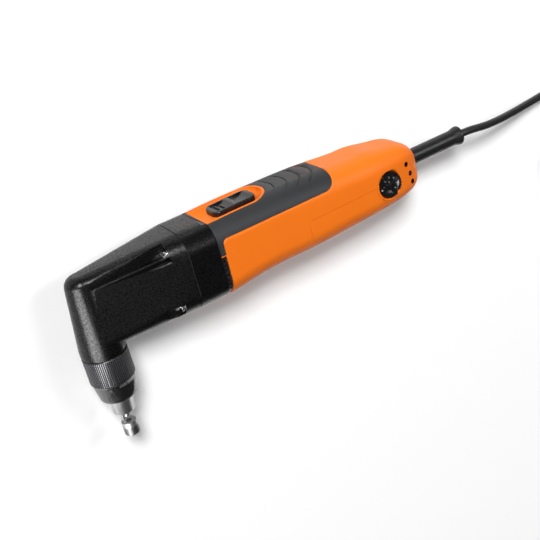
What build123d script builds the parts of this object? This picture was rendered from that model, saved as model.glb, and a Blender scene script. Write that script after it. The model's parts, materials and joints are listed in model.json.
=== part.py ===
"""Hand-held electric nibbler, lying on its right side with its mains lead put away in a coil.

Frame, in millimetres: X runs along the tool from the cutting head to the cord, Y points to the
switch side, so the die points to -Y, and Z is up.  The flat right side lies on Z = 0.  The origin
is on that side, below the motor axis, at the middle of the bearing flange.
"""
import os
from collections import namedtuple
from math import acos, cos, inf, pi, radians, sin, sqrt, tan

import numpy as np
from build123d import *

os.makedirs("parts", exist_ok=True)

# Body section at the bearing flange, measured from the motor axis
body_half_width = 31.5
flange_top = 34.3
flange_bottom = 33.5
flange_corner_top = 19.0
flange_corner_bottom = 18.0
flange_length = 26.0
flange_wall = 3.4
flange_web = 11.0
flange_lip_depth = 1.7
flange_lip_length = 4.6
seam_rebate = 0.8
gasket_thickness = 0.8
gasket_inset = 1.0

# Gear head: a tapered casting with a conical nose round the die axis
head_reach = 82.0
head_wall = 3.4
nose_top = 30.0
nose_edge_round = 9.0
nose_crest_radius = 12.0
nose_radius_bottom = 19.2
nose_taper_end = 34.0
nose_joint = -2.8
nose_joint_half_top = 11.63
nose_joint_half_bottom = 18.9
nose_joint_drop = 0.25
nose_front_bottom = 33.5
nose_corner_bottom = 8.0
boss_end = 39.8
boss_groove_depth = 0.9
boss_groove_width = 1.6
neck_radius = 14.0
neck_end = 62.0
front_cavity_radius = 12.8
front_cavity_top = 6.0

# Head screws, four round the motor axis, with a notch for each in the head
screw_upper = (22.8, 19.6)
screw_lower = (-23.8, 22.2)
screw_radius = 2.0
screw_hole_radius = 2.25
screw_head_radius = 3.5
screw_head_height = 4.0
screw_key_radius = 1.73
screw_key_depth = 2.2
screw_head_stand = 2.4
screw_grip = 14.0
screw_boss_radius = 5.2
screw_boss_extra = 3.0
screw_pocket_radius = 3.9
screw_pocket_wall = 3.2
notch_setback = 13.3
notch_floor_y = 18.2
notch_front_z = 13.4
notch_rear_z = 17.0
notch_wall = 3.0
notch_round = 2.0
pocket_roof_y = -19.6
pocket_rear_z = 18.2
pocket_front_z = 27.6
pocket_length = 22.0

# Motor housing
housing_wall = 2.6
housing_length = 212.0
pad_depth = 1.8
pad_gap = 0.5
pad_edge_y = 19.4
pad_length = 117.0
pad_end_round = 11.0
pad_leg_width = 4.4
pad_leg_y = 6.2
groove_first = 71.5
groove_pitch = 12.6
groove_width = 1.0
groove_depth = 0.9
groove_bend = 27.0
groove_half_widths = (14.5, 19.5, 22.0, 23.0)
strip_width = 4.0
strip_top_y = 5.0
strip_gap = 0.1
strip_recess = 1.1
strip_depth = 3.0
strip_slot_count = 7
strip_slot_pitch = 4.2
strip_slot_width = 1.8
strip_slot_length = 2.2
recess_half_width = 19.2
recess_floor_y = 29.4
recess_floor_thickness = 2.0
recess_length = 61.6
recess_wall = 1.6
recess_rim = 1.0
recess_rim_rear = 2.2

# Service cover on the lower rear of the housing
cover_start = 84.0
cover_length = 92.0
cover_top_y = 1.0
cover_gap = 0.25
cover_corner = 3.0
cover_screw_radius = 1.75
cover_screw_head_radius = 3.2
cover_screw_head_height = 1.2
cover_screw_length = 8.0
cover_screw_offset = 12.0
screw_fit = 0.15
cross_width = 0.9
cross_depth = 0.7

# Switch slider
slider_length = 41.0
slider_half_width = 11.0
slider_front = 12.5
slider_base_gap = 0.3
slider_height = 5.0
slider_end_round = 7.0
slider_top_round = 1.2
slider_travel = 6.0
thumb_hollow_depth = 2.0
thumb_hollow_half_width = 8.8
thumb_hollow_radius = 15.0
thumb_hollow_places = (11.0, 29.5)
slider_rise = 0.8
slider_leg_start = 16.0
slider_leg_length = 10.0
slider_leg_half_width = 2.8
slider_leg_overlap = 1.0
slide_clearance = 0.3
link_thickness = 1.6
link_half_width = 5.0
link_stator_gap = 0.6
link_hook_length = 3.0
link_hook_drop = 1.1

# Spur gear pair
gear_module = 0.6
pinion_teeth = 8
gear_teeth = 44
gear_backlash = 0.2
gear_width = 8.0
pinion_width = 11.0
gear_side_gap = 1.5
pressure_angle = 20.0
pinion_addendum = 1.0
gear_addendum = 0.5
root_clearance = 0.3
flank_steps = 4
gear_window_radius = 2.6
gear_window_circle = 9.0
gear_windows = 6

# Eccentric drive and plunger
eccentricity = 3.0
roller_radius = 5.0
roller_width = 9.0
yoke_clearance = 0.3
stroke = 6.0
yoke_wall = 3.2
yoke_end_wall = 4.2
yoke_thickness = 8.0
yoke_neck_overlap = 1.0
gear_journal_radius = 3.0
gear_needle_radius = 5.0
gear_needle_width = 7.0
gear_seat_radius = 5.0
gear_shaft_radius = 6.2
front_bearing_outer = 13.0
front_bearing_bore = 5.0
front_bearing_width = 8.0
front_bearing_setback = 25.5
cheek_radius = 8.0
cheek_gap = 0.6
cheek_end = 13.0
pin_radius_ecc = 3.0
pin_reach = 5.8
clip_thickness = 0.8
clip_radius = 4.2
clip_groove = 0.5
passage_radius = 9.0
plunger_radius = 7.0
bush_radius = 9.0
bush_top = 36.4
bush_length = 23.4
wiper_thickness = 1.8
shield_depth = 0.5
shield_inner = 0.35
shield_outer = 0.75
running_clearance = 0.05
press_clearance = 0.02
punch_radius = 2.75
punch_socket = 8.0
plunger_end = 62.0
wiper_gap = 0.1
punch_tip = 103.3

# Die set
collar_radius = 19.2
collar_knurl_end = 64.8
collar_cone_end = 82.2
collar_cone_radius = 15.7
collar_edge = 0.8
collar_flat = 16.0
collar_flat_turn = 20.0
collar_flat_top = 67.5
collar_top_gap = 0.4
collar_bore_gap = 0.1
collar_lip = 1.0
collar_rim = 1.2
collar_knurls = 72
collar_knurl_depth = 0.5
collar_shoulder_gap = 0.3
collar_tip_chamfer = 1.4
carrier_flange_radius = 13.0
carrier_flange_gap = 0.2
carrier_flange_thickness = 4.2
carrier_mouth_radius = 7.4
carrier_mouth_end = 70.4
carrier_radius = 9.9
carrier_end = 98.6
carrier_chamfer = 2.2
carrier_clearance = 0.35
die_shank_top = 70.6
die_radius = 6.4
die_top = 108.6
die_end = 121.0
die_edge = 0.7
die_post_back = 4.4
die_post_half_width = 3.0
die_post_gap = 0.12
die_post_overlap = 1.0

# Motor
shaft_radius = 4.0
shaft_hole_gap = 1.0
shaft_tail = 2.0
bearing_outer = 9.5
bearing_bore = 3.5
bearing_width = 6.0
bearing_setback = 0.5
fan_gap = 3.0
fan_width = 11.0
fan_radius = 22.8
fan_plate = 1.6
fan_hub_radius = 7.0
fan_blades = 14
fan_blade_thickness = 1.4
fan_blade_root = 9.0
fan_blade_inset = 1.0
baffle_gap = 1.8
baffle_thickness = 2.0
baffle_outer = 23.0
baffle_lip = 1.6
baffle_rib = 4.5
baffle_inner = 15.5
stator_gap = 6.0
stator_length = 46.0
stator_rib = 6.0
stator_rib_inset = 3.0
stator_vent_radius = 3.4
stator_vent_offset = 20.0
brush_vent_offset = 16.0
stator_radius = 23.0
stator_yoke = 3.6
pole_half_angle = 40.0
pole_overlap = 1.0
air_gap = 0.5
armature_radius = 14.2
armature_setback = 2.0
armature_slots = 12
armature_slot_width = 3.2
armature_slot_depth = 4.6
armature_slot_mouth = 1.0
winding_clearance = 0.1
end_turn_length = 7.0
end_turn_radius = 12.6
coil_overhang = 6.0
coil_half_angle = 66.0
coil_window_extra = 1.0
coil_clearance = 0.3
commutator_gap = 3.0
commutator_length = 14.0
commutator_radius = 10.4
commutator_riser = 1.6
commutator_bars = 22
commutator_slit = 0.5
commutator_slit_depth = 0.8
brush_width = 8.0
brush_thickness = 5.0
brush_length = 8.0
brush_gap = 0.3
brush_slide = 0.15
brush_rib = 12.0
brush_opening = 13.0
holder_wall = 0.8
holder_length = 13.0
holder_start = 12.2
spring_strip = 0.4
spring_half_height = 1.9
spring_folds = 5
spring_width = 4.0
rear_bearing_gap = 5.0
sleeve_wall = 2.0
bridge_thickness = 8.0
bridge_vents = 6
bridge_vent_radius = 3.2
bridge_vent_circle = 17.2

# Controls and wiring in the rear of the housing
switch_length = 26.0
switch_height = 16.0
switch_half_width = 9.0
switch_gap = 8.0
switch_button_height = 1.4
cradle_thickness = 4.0
capacitor_radius = 7.0
capacitor_length = 24.0
capacitor_y = -11.5
capacitor_edge = 1.0
dial_distance = 170.5
dial_y = -1.3
dial_radius = 11.4
dial_face = 30.0
dial_thickness = 5.0
dial_recess_radius = 12.6
dial_grips = 24
dial_grip_radius = 0.8
dial_mark_radius = 1.9
dial_mark_angle = -48.0
dial_pocket_radius = 9.2
dial_pocket_depth = 1.3
dial_hub_radius = 3.2
dial_rib_width = 2.6
dial_rib_angle = 22.0
dial_stem_radius = 3.0
dial_floor_thickness = 2.2
dial_cup_wall = 1.8
dial_floor_gap = 0.5
dial_stem_depth = 2.0
dial_stem_gap = 0.3
pot_radius = 9.0
pot_height = 6.0
module_length = 44.0
module_half_width = 14.0
module_height = 12.0
module_y = -4.0
module_rib = 5.0
module_rib_start = 6.5
wire_hole_radius = 4.0
wire_hole_offset = 17.0
clamp_length = 7.0
clamp_half_width = 11.0
clamp_height = 8.0
clamp_split = 0.4
clamp_distance = 199.0
clamp_screw_radius = 1.6
clamp_screw_head = 2.9
clamp_screw_head_height = 1.8
clamp_screw_spacing = 15.0
vent_radius = 2.3
vent_places = ((193.6, 7.6), (196.8, -2.2), (198.2, -10.6))

# Strain relief and lead
cord_radius = 3.6
cord_y = 1.0
cord_bore_gap = 0.05
relief_radius = 7.3
relief_length = 60.0
relief_base_radius = 8.5
relief_base_length = 4.0
relief_base_round = 1.2
relief_flare_radius = 8.8
relief_flare_length = 8.5
relief_flare_round = 12.0
relief_crest_round = 3.0
relief_lip = 2.4
relief_lip_round = 0.8
relief_collar_radius = 8.8
relief_collar_length = 3.0
lead_overlap = 3.0
lead_straight = 14.5
entry_tail = 4.0
bend_share = 0.45
cord_length = 5000.0

# Coil of lead: four layers that spiral in, out, in and out
coil_center = (488.0, -72.0)
coil_outer = 64.0
coil_pitch = 7.8
coil_lift = 1.5
coil_layer_turns = (3.25, 3.25, 3.25, 2.75)
climb_turns = 0.5
coil_lead_in = 31.5
coil_lead_out = 22.0
coil_gap_least = 0.4
gap_steps = 24
gap_stride = 4
gap_span = 6.0
tie_width = 12.0
tie_thickness = 1.1
tie_gap = 0.3
tie_margin = 1.0

# Plug with two round pins
plug_half_width = 17.8
plug_half_thickness = 13.0
plug_length = 36.0
plug_neck_length = 16.0
plug_neck_radius = 6.0
plug_neck_base = 10.0
plug_corner = 9.0
plug_offset_y = 86.0
tail_end_offset = 16.0
pin_radius = 2.4
pin_root_radius = 1.9
pin_spacing = 19.0
pin_length = 19.0
pin_depth = 9.0
pin_tip = 1.0

# Small overlaps of cuts
cut_margin = 1.0

# Places that follow from the sizes above
axis_z = body_half_width
flange_front = -flange_length / 2
flange_rear = flange_length / 2
head_rear = flange_front - gasket_thickness
die_x = flange_front - head_reach
housing_rear = flange_rear + housing_length
gear_bearing_x = die_x + front_bearing_setback
gear_bearing_end = gear_bearing_x + front_bearing_width
pinion_pitch = gear_module * pinion_teeth / 2
gear_pitch = gear_module * gear_teeth / 2
gear_y = -(pinion_pitch + gear_pitch)
web_front = flange_rear - flange_web
screw_places = [(y, side * z) for y, z in (screw_upper, screw_lower) for side in (1, -1)]
notch_end_x = head_rear - notch_setback
screw_face_x = notch_end_x - screw_head_stand
screw_seat_x = screw_face_x + screw_head_height
notch_lean = (notch_rear_z - notch_front_z) / (notch_end_x - die_x)

fan_x = flange_rear + fan_gap
baffle_x = fan_x + fan_width + baffle_gap
stator_x = baffle_x + baffle_thickness + stator_gap
stator_end = stator_x + stator_length
commutator_x = stator_end + end_turn_length + commutator_gap
commutator_end = commutator_x + commutator_length
brush_x = commutator_x + commutator_riser + (commutator_length - commutator_riser) / 2
rear_bearing_x = commutator_end + rear_bearing_gap
rear_bearing_end = rear_bearing_x + bearing_width
bridge_x = rear_bearing_x + bearing_width / 2 - bridge_thickness / 2
link_y = stator_radius + link_stator_gap
switch_x = rear_bearing_end + switch_gap
switch_top = link_y - switch_button_height
cradle_x = switch_x + switch_length / 2 - cradle_thickness / 2
cover_x = flange_rear + cover_start
dial_x = flange_rear + dial_distance
module_x = dial_x - module_length / 2
module_rib_x = module_x + module_rib_start
slider_x = flange_rear + slider_front
slider_base_y = recess_floor_y + slider_base_gap
cord_exit_x = housing_rear + relief_length
relief_seat_x = housing_rear - housing_wall - relief_collar_length

Section = namedtuple("Section", "x top bottom half_top half_bottom r_top r_bottom")
die_plane = Plane(origin=(die_x, 0, axis_z), x_dir=(1, 0, 0), z_dir=(0, 0, 1))
die_axis = Axis((die_x, 0, axis_z), (0, 1, 0))
reach = 2 * body_half_width


def across(x):
    """Plane across the tool at x, with local x along Y and local y along Z from the motor axis."""
    return Plane(origin=(x, 0, axis_z), x_dir=(0, 1, 0), z_dir=(1, 0, 0))


def lengthwise(z=0.0):
    """Plane along the tool, with local x along X and local y along Y, z from the motor axis."""
    return Plane(origin=(0, 0, axis_z + z), x_dir=(1, 0, 0), z_dir=(0, 0, 1))


def above(y):
    """Plane facing the switch side at height y, with local x along X and local y along -Z."""
    return Plane(origin=(0, y, axis_z), x_dir=(1, 0, 0), z_dir=(0, 1, 0))


def body_face(s, inset=0.0):
    """Rounded body section at its place along the tool, drawn in by inset all round."""
    top, bottom = s.top - inset, inset - s.bottom
    half_top, half_bottom = s.half_top - inset, s.half_bottom - inset
    with BuildSketch(across(s.x)) as face:
        with BuildLine():
            Polyline(
                (top, -half_top), (top, half_top), (bottom, half_bottom), (bottom, -half_bottom), close=True
            )
        make_face()
        fillet(vertices().group_by(Axis.X)[-1], s.r_top - inset)
        fillet(vertices().group_by(Axis.X)[0], s.r_bottom - inset)
    return face.sketch


def body_form(sections, inset=0.0):
    """Solid that runs through the body sections, drawn in by inset all round."""
    with BuildPart() as form:
        loft([body_face(s, inset) for s in sections])
    return form.part


def ring(x, radius, bore=0.0, y=0.0, z=0.0):
    """Round face across the tool at x, centred at y and z from the motor axis."""
    with BuildSketch(across(x)) as face:
        with Locations((y, z)):
            Circle(radius)
            if bore:
                Circle(bore, mode=Mode.SUBTRACT)
    return face.sketch


def disc(x, length, radius, bore=0.0, y=0.0, z=0.0, mode=Mode.ADD):
    """Adds a disc or ring along X from x."""
    extrude(ring(x, radius, bore, y, z), amount=length, mode=mode)


def block(x, y, z, mode=Mode.ADD):
    """Adds a box between the given (low, high) pairs, z measured from the motor axis."""
    with Locations((sum(x) / 2, sum(y) / 2, axis_z + sum(z) / 2)):
        Box(x[1] - x[0], y[1] - y[0], z[1] - z[0], mode=mode)


def upright(x, y, z, length, radius, mode=Mode.ADD):
    """Adds a round bar along Y from y, z measured from the motor axis."""
    with Locations((x, y + length / 2, axis_z + z)):
        Cylinder(radius, length, rotation=(90, 0, 0), mode=mode)


def notch_z(x):
    """Distance of the notch's wall from the middle of the head at x."""
    return notch_front_z + notch_lean * (x - die_x)


def corner_cut(y, height, front, rear):
    """Solid outside a slanting wall on both sides, front and rear being (x, z) of the wall."""
    with BuildPart() as cut:
        for side in (1, -1):
            with BuildSketch(above(y)):
                with BuildLine():
                    Polyline(
                        (front[0], side * front[1]), (rear[0], side * rear[1]), (rear[0], side * reach),
                        (front[0], side * reach), close=True,
                    )
                make_face()
        extrude(amount=height)
    return cut


def turned(profile, mode=Mode.ADD):
    """Adds a solid turned about the die axis from (radius, y) points."""
    with BuildSketch(die_plane) as face:
        with BuildLine():
            Polyline(*profile, close=True)
        make_face()
    revolve(face.sketch, axis=die_axis, mode=mode)


def recess_face(y, half_width, length):
    """Slot outline of the switch recess, open at the flange and round at the rear."""
    middle = flange_rear + length - half_width
    with BuildSketch(above(y)) as face:
        with Locations(((flange_front + middle) / 2, 0)):
            Rectangle(middle - flange_front, 2 * half_width)
        with Locations((middle, 0)):
            Circle(half_width)
    return face.sketch


def pad_region(gap):
    """Region of the soft grip seen from the side, grown by gap."""
    end = flange_rear + pad_length + gap
    leg = flange_rear + pad_leg_width + gap
    with BuildPart() as region:
        with BuildSketch(lengthwise()):
            with BuildLine():
                Polyline(
                    (flange_front, reach), (flange_front, pad_leg_y - gap), (leg, pad_leg_y - gap),
                    (leg, pad_edge_y - gap), (end, pad_edge_y - gap), (end, reach), close=True,
                )
            make_face()
            corner = vertices().sort_by_distance((end, pad_edge_y - gap))[0]
            fillet(corner, pad_end_round + gap)
            knee = vertices().sort_by_distance((leg, pad_edge_y - gap))[0]
            fillet(knee, pad_leg_width - gap)
        extrude(amount=reach, both=True)
    return region.part


def cover_region(gap):
    """Region of the service cover, grown by gap, with a bay round the dial cup."""
    bay_radius = dial_recess_radius + dial_cup_wall + cover_gap - gap
    with BuildPart() as region:
        with BuildSketch(lengthwise()):
            with BuildLine():
                Polyline(
                    (cover_x - gap, -reach), (cover_x - gap, cover_top_y + gap),
                    (cover_x + cover_length + gap, cover_top_y + gap), (cover_x + cover_length + gap, -reach),
                    close=True,
                )
            make_face()
            corner = vertices().sort_by_distance((cover_x, cover_top_y))[0]
            fillet(corner, cover_corner + gap)
        extrude(amount=reach, both=True)
        with Locations((dial_x, dial_y, axis_z + reach / 2)):
            Cylinder(bay_radius, reach, mode=Mode.SUBTRACT)
    return region.part


def gear_face(x, y, teeth, addendum, dedendum, turn):
    """Involute gear outline across the tool at x, with its axis at y."""
    pitch = gear_module * teeth / 2
    base = pitch * cos(radians(pressure_angle))
    tip = pitch + addendum * gear_module
    root = pitch - dedendum * gear_module
    half_tooth = pi / (2 * teeth) - gear_backlash / (4 * pitch)
    spread = half_tooth + tan(radians(pressure_angle)) - radians(pressure_angle)
    radii = np.linspace(max(base, root), tip, flank_steps)
    roll = np.arccos(np.minimum(base / radii, 1.0))
    flank = spread - (np.tan(roll) - roll)
    radii = np.concatenate([[root], radii, radii[::-1], [root]])
    flank = np.concatenate([[-flank[0]], -flank, flank[::-1], [flank[0]]])
    keep = np.concatenate([[True], np.hypot(np.diff(radii), np.diff(flank) * pitch) > 1e-4])
    points = []
    for tooth in range(teeth):
        angle = 2 * pi * tooth / teeth + radians(turn) + flank[keep]
        points += list(zip(y + radii[keep] * np.cos(angle), radii[keep] * np.sin(angle)))
    with BuildSketch(across(x)) as face:
        with BuildLine():
            Polyline(*points, close=True)
        make_face()
    return face.sketch


def bend_radii(points):
    """Bend radius at each inner point of a run of straight stretches."""
    runs = np.diff(np.array(points), axis=0)
    lengths = np.linalg.norm(runs, axis=1)
    radii = []
    for a, b, la, lb in zip(runs, runs[1:], lengths, lengths[1:]):
        turn = acos(float(np.dot(a, b) / (la * lb)))
        radii.append(bend_share * min(la, lb) / tan(turn / 2))
    return radii


def cord_tube(points):
    """Round lead along straight stretches joined by wide bends."""
    with BuildPart() as tube:
        with BuildLine() as path:
            FilletPolyline(*points, radius=bend_radii(points))
        with BuildSketch(Plane(origin=points[0], z_dir=path.wire() % 0)):
            Circle(cord_radius)
        sweep()
    section = pi * cord_radius**2
    print("lead bends", [round(r) for r in bend_radii(points)], "length", round(path.wire().length, 1))
    print("lead volume over section times length", round(tube.part.volume / section / path.wire().length, 4))
    return tube


def save(builder, label):
    """Labels a finished piece and writes its file."""
    builder.part.label = label
    export_step(builder.part, f"parts/{label}.step")


# Forms of the body
flange_section = Section(
    flange_front, flange_top, flange_bottom, body_half_width, body_half_width,
    flange_corner_top, flange_corner_bottom,
)
nose_section = Section(
    die_x + nose_joint, nose_top - nose_joint_drop, nose_front_bottom, nose_joint_half_top,
    nose_joint_half_bottom, nose_edge_round, nose_corner_bottom,
)
head_sections = [flange_section._replace(x=head_rear), nose_section]


def housing_station(distance, top, bottom, half, r_top, r_bottom):
    """Housing section at a distance behind the flange."""
    return Section(flange_rear + distance, top, bottom, half, half, r_top, r_bottom)


housing_sections = [
    flange_section._replace(x=flange_rear),
    housing_station(10.0, 34.5, 33.3, body_half_width, 19.0, 18.0),
    housing_station(38.0, 34.8, 29.8, body_half_width, 19.0, 18.0),
    housing_station(90.0, 33.9, 29.0, body_half_width, 19.0, 18.0),
    housing_station(120.0, 32.3, 28.0, 31.3, 19.0, 18.0),
    housing_station(150.0, 30.2, 26.4, 30.2, 18.0, 16.0),
    housing_station(177.0, 27.4, 24.8, 27.6, 16.0, 14.0),
    housing_station(192.0, 25.4, 23.2, 24.4, 14.0, 12.0),
    housing_station(201.0, 22.4, 21.4, 21.2, 12.5, 10.5),
    housing_station(207.5, 17.0, 19.0, 17.0, 10.0, 9.0),
    housing_station(housing_length, 10.8, 15.4, 11.4, 7.0, 7.5),
]
inner_sections = housing_sections[:-1]
inner_sections.append(housing_sections[-1]._replace(x=housing_rear - housing_wall))
with BuildPart() as outer:
    add(body_form(housing_sections))
    block((flange_rear, housing_rear), (-reach, reach), (-axis_z, axis_z), mode=Mode.INTERSECT)
outer_form = outer.part
groove_form = body_form(housing_sections, groove_depth)
pad_form = body_form(housing_sections, pad_depth)
middle_form = body_form(housing_sections, housing_wall / 2)
inner_form = body_form(inner_sections, housing_wall)
cover_form = body_form(inner_sections, housing_wall + cover_gap)
strip_outer_form = body_form(housing_sections[:3], strip_recess)
strip_inner_form = body_form(housing_sections[:3], strip_depth)

# Gear head casting
head_front = die_x - nose_radius_bottom
notch = corner_cut(
    notch_floor_y, reach, (head_front, notch_z(head_front)), (notch_end_x, notch_z(notch_end_x))
)
notch_corners = sorted(notch.edges().group_by(Axis.Y)[0], key=lambda edge: abs(edge.center().Z - axis_z))[:2]
notch_form = fillet(notch_corners, notch_round)
lower_pocket = corner_cut(
    pocket_roof_y, -reach, (notch_end_x - pocket_length, pocket_front_z), (notch_end_x, pocket_rear_z)
)
notch_backing = corner_cut(
    notch_floor_y - notch_wall, reach, (head_front, notch_z(head_front) - notch_wall),
    (head_rear, notch_z(head_rear) - notch_wall),
)
with BuildPart() as head_cavity:
    add(body_form(head_sections, head_wall))
    block((gear_bearing_end, head_rear), (-reach, reach), (-reach, reach), mode=Mode.INTERSECT)
    add(notch_backing.part, mode=Mode.SUBTRACT)
    for y, z in screw_places:
        disc(
            die_x, head_rear - die_x, screw_pocket_radius + screw_pocket_wall, y=y, z=z, mode=Mode.SUBTRACT,
        )
with BuildPart() as gear_head:
    add(body_form(head_sections))
    with BuildSketch(die_plane):
        with BuildLine():
            Polyline(
                (0, nose_top), (nose_crest_radius, nose_top), (nose_radius_bottom, -nose_taper_end),
                (nose_radius_bottom, boss_groove_width - boss_end),
                (nose_radius_bottom - boss_groove_depth, boss_groove_width - boss_end),
                (nose_radius_bottom - boss_groove_depth, -boss_end), (neck_radius, -boss_end),
                (neck_radius, -neck_end), (0, -neck_end), close=True,
            )
        make_face()
        crest = vertices().sort_by_distance((nose_crest_radius, nose_top))[0]
        fillet(crest, nose_edge_round)
    revolve(axis=die_axis)
    add(notch_form, mode=Mode.SUBTRACT)
    add(lower_pocket.part, mode=Mode.SUBTRACT)
    for y, z in screw_places:
        disc(screw_face_x, screw_head_height, screw_pocket_radius, y=y, z=z, mode=Mode.SUBTRACT)
        disc(screw_seat_x, head_rear - screw_seat_x, screw_hole_radius, y=y, z=z, mode=Mode.SUBTRACT)
    add(head_cavity.part, mode=Mode.SUBTRACT)
    disc(gear_bearing_x, front_bearing_width, front_bearing_outer, y=gear_y, mode=Mode.SUBTRACT)
    disc(die_x, front_bearing_setback, passage_radius, y=gear_y, mode=Mode.SUBTRACT)
    turned(
        [
            (0, front_cavity_top), (front_cavity_radius, front_cavity_top), (front_cavity_radius, -bush_top),
            (bush_radius, -bush_top), (bush_radius, -neck_end), (0, -neck_end),
        ],
        mode=Mode.SUBTRACT,
    )
save(gear_head, "gear_head")

# Seam gasket between the head and the bearing flange
gasket_section = flange_section._replace(x=head_rear)
with BuildPart() as head_gasket:
    extrude(body_face(gasket_section, gasket_inset), amount=gasket_thickness)
    extrude(body_face(gasket_section, flange_wall), amount=gasket_thickness, mode=Mode.SUBTRACT)
    for y, z in screw_places:
        disc(head_rear, gasket_thickness, screw_boss_radius, y=y, z=z)
    extrude(body_face(gasket_section, gasket_inset), amount=gasket_thickness, mode=Mode.INTERSECT)
    for y, z in screw_places:
        disc(head_rear, gasket_thickness, screw_hole_radius, y=y, z=z, mode=Mode.SUBTRACT)
save(head_gasket, "head_gasket")

# Bearing flange
with BuildPart() as flange_cavity:
    extrude(body_face(flange_section, flange_wall), amount=flange_length - flange_web)
    for y, z in screw_places:
        disc(flange_front, flange_length, screw_boss_radius, y=y, z=z, mode=Mode.SUBTRACT)
rebate_section = flange_section._replace(x=flange_rear - seam_rebate)
with BuildPart() as flange_rebate:
    extrude(body_face(rebate_section), amount=seam_rebate)
    extrude(body_face(rebate_section, seam_rebate), amount=seam_rebate, mode=Mode.SUBTRACT)
with BuildPart() as bearing_flange:
    extrude(body_face(flange_section), amount=flange_length)
    add(flange_rebate.part, mode=Mode.SUBTRACT)
    block(
        (flange_rear - flange_lip_length, flange_rear), (flange_top - flange_lip_depth, reach),
        (-recess_half_width, recess_half_width), mode=Mode.SUBTRACT,
    )
    add(flange_cavity.part, mode=Mode.SUBTRACT)
    for y, z in screw_places:
        disc(flange_front, flange_length, screw_hole_radius, y=y, z=z, mode=Mode.SUBTRACT)
    disc(web_front, flange_web, shaft_radius + shaft_hole_gap, mode=Mode.SUBTRACT)
    pocket = bearing_width + bearing_setback
    disc(flange_rear - pocket, pocket, bearing_outer, mode=Mode.SUBTRACT)
    disc(web_front, gear_needle_width, gear_needle_radius, y=gear_y, mode=Mode.SUBTRACT)
save(bearing_flange, "bearing_flange")

# Head screws
with BuildPart() as head_screws:
    for y, z in screw_places:
        disc(screw_face_x, screw_head_height, screw_head_radius, y=y, z=z)
        disc(screw_seat_x, flange_rear + screw_grip - screw_seat_x, screw_radius, y=y, z=z)
        with BuildSketch(across(screw_face_x)):
            with Locations((y, z)):
                RegularPolygon(screw_key_radius, 6)
        extrude(amount=screw_key_depth, mode=Mode.SUBTRACT)
save(head_screws, "head_screws")

# Drive gear and eccentric shaft
gear_x = web_front - gear_side_gap - gear_width
with BuildPart() as drive_gear:
    extrude(
        gear_face(gear_x, gear_y, gear_teeth, gear_addendum, pinion_addendum + root_clearance, 0.0),
        amount=gear_width,
    )
    disc(gear_x, gear_width, gear_seat_radius, y=gear_y, mode=Mode.SUBTRACT)
    for k in range(gear_windows):
        angle = 2 * pi * (k + 0.5) / gear_windows
        disc(
            gear_x, gear_width, gear_window_radius, y=gear_y + gear_window_circle * cos(angle),
            z=gear_window_circle * sin(angle), mode=Mode.SUBTRACT,
        )
save(drive_gear, "drive_gear")

ecc_y = gear_y + eccentricity
pin_tip_x = die_x - pin_reach
cheek_x = die_x + cheek_end
with BuildPart() as eccentric_shaft:
    disc(web_front, gear_needle_width, gear_journal_radius, y=gear_y)
    disc(gear_x, web_front - gear_side_gap / 2 - gear_x, gear_seat_radius, y=gear_y)
    disc(web_front - gear_side_gap / 2, gear_side_gap / 2, gear_journal_radius, y=gear_y)
    disc(gear_bearing_end, gear_x - gear_bearing_end, gear_shaft_radius, y=gear_y)
    disc(gear_bearing_x - cheek_gap, front_bearing_width + cheek_gap, front_bearing_bore, y=gear_y)
    disc(cheek_x, gear_bearing_x - cheek_gap - cheek_x, cheek_radius, y=gear_y)
    disc(pin_tip_x, cheek_x - pin_tip_x, pin_radius_ecc, y=ecc_y)
    clip_x = die_x - roller_width / 2 - clip_thickness
    disc(clip_x, clip_thickness, pin_radius_ecc, pin_radius_ecc - clip_groove, y=ecc_y, mode=Mode.SUBTRACT)
save(eccentric_shaft, "eccentric_shaft")

with BuildPart() as gear_needle_bearing:
    disc(web_front, gear_needle_width, gear_needle_radius, gear_journal_radius + running_clearance, y=gear_y)
save(gear_needle_bearing, "gear_needle_bearing")


def ball_bearing(x, width, outer_radius, bore, y=0.0):
    """Ball bearing as one ring with its shields set back on both faces."""
    inner_race = bore + (outer_radius - bore) * shield_inner
    outer_race = bore + (outer_radius - bore) * shield_outer
    with BuildPart() as bearing:
        disc(x, width, outer_radius, bore + running_clearance, y=y)
        disc(x, shield_depth, outer_race, inner_race, y=y, mode=Mode.SUBTRACT)
        disc(x + width - shield_depth, shield_depth, outer_race, inner_race, y=y, mode=Mode.SUBTRACT)
    return bearing


save(
    ball_bearing(gear_bearing_x, front_bearing_width, front_bearing_outer, front_bearing_bore, gear_y),
    "gear_bearing_front",
)

with BuildPart() as eccentric_roller:
    disc(die_x - roller_width / 2, roller_width, roller_radius, pin_radius_ecc + press_clearance, y=ecc_y)
save(eccentric_roller, "eccentric_roller")

with BuildPart() as roller_clip:
    disc(clip_x, clip_thickness, clip_radius, pin_radius_ecc - clip_groove, y=ecc_y)
    block(
        (clip_x, clip_x + clip_thickness), (ecc_y, ecc_y + clip_radius),
        (-pin_radius_ecc / 2, pin_radius_ecc / 2), mode=Mode.SUBTRACT,
    )
save(roller_clip, "roller_clip")

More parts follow.
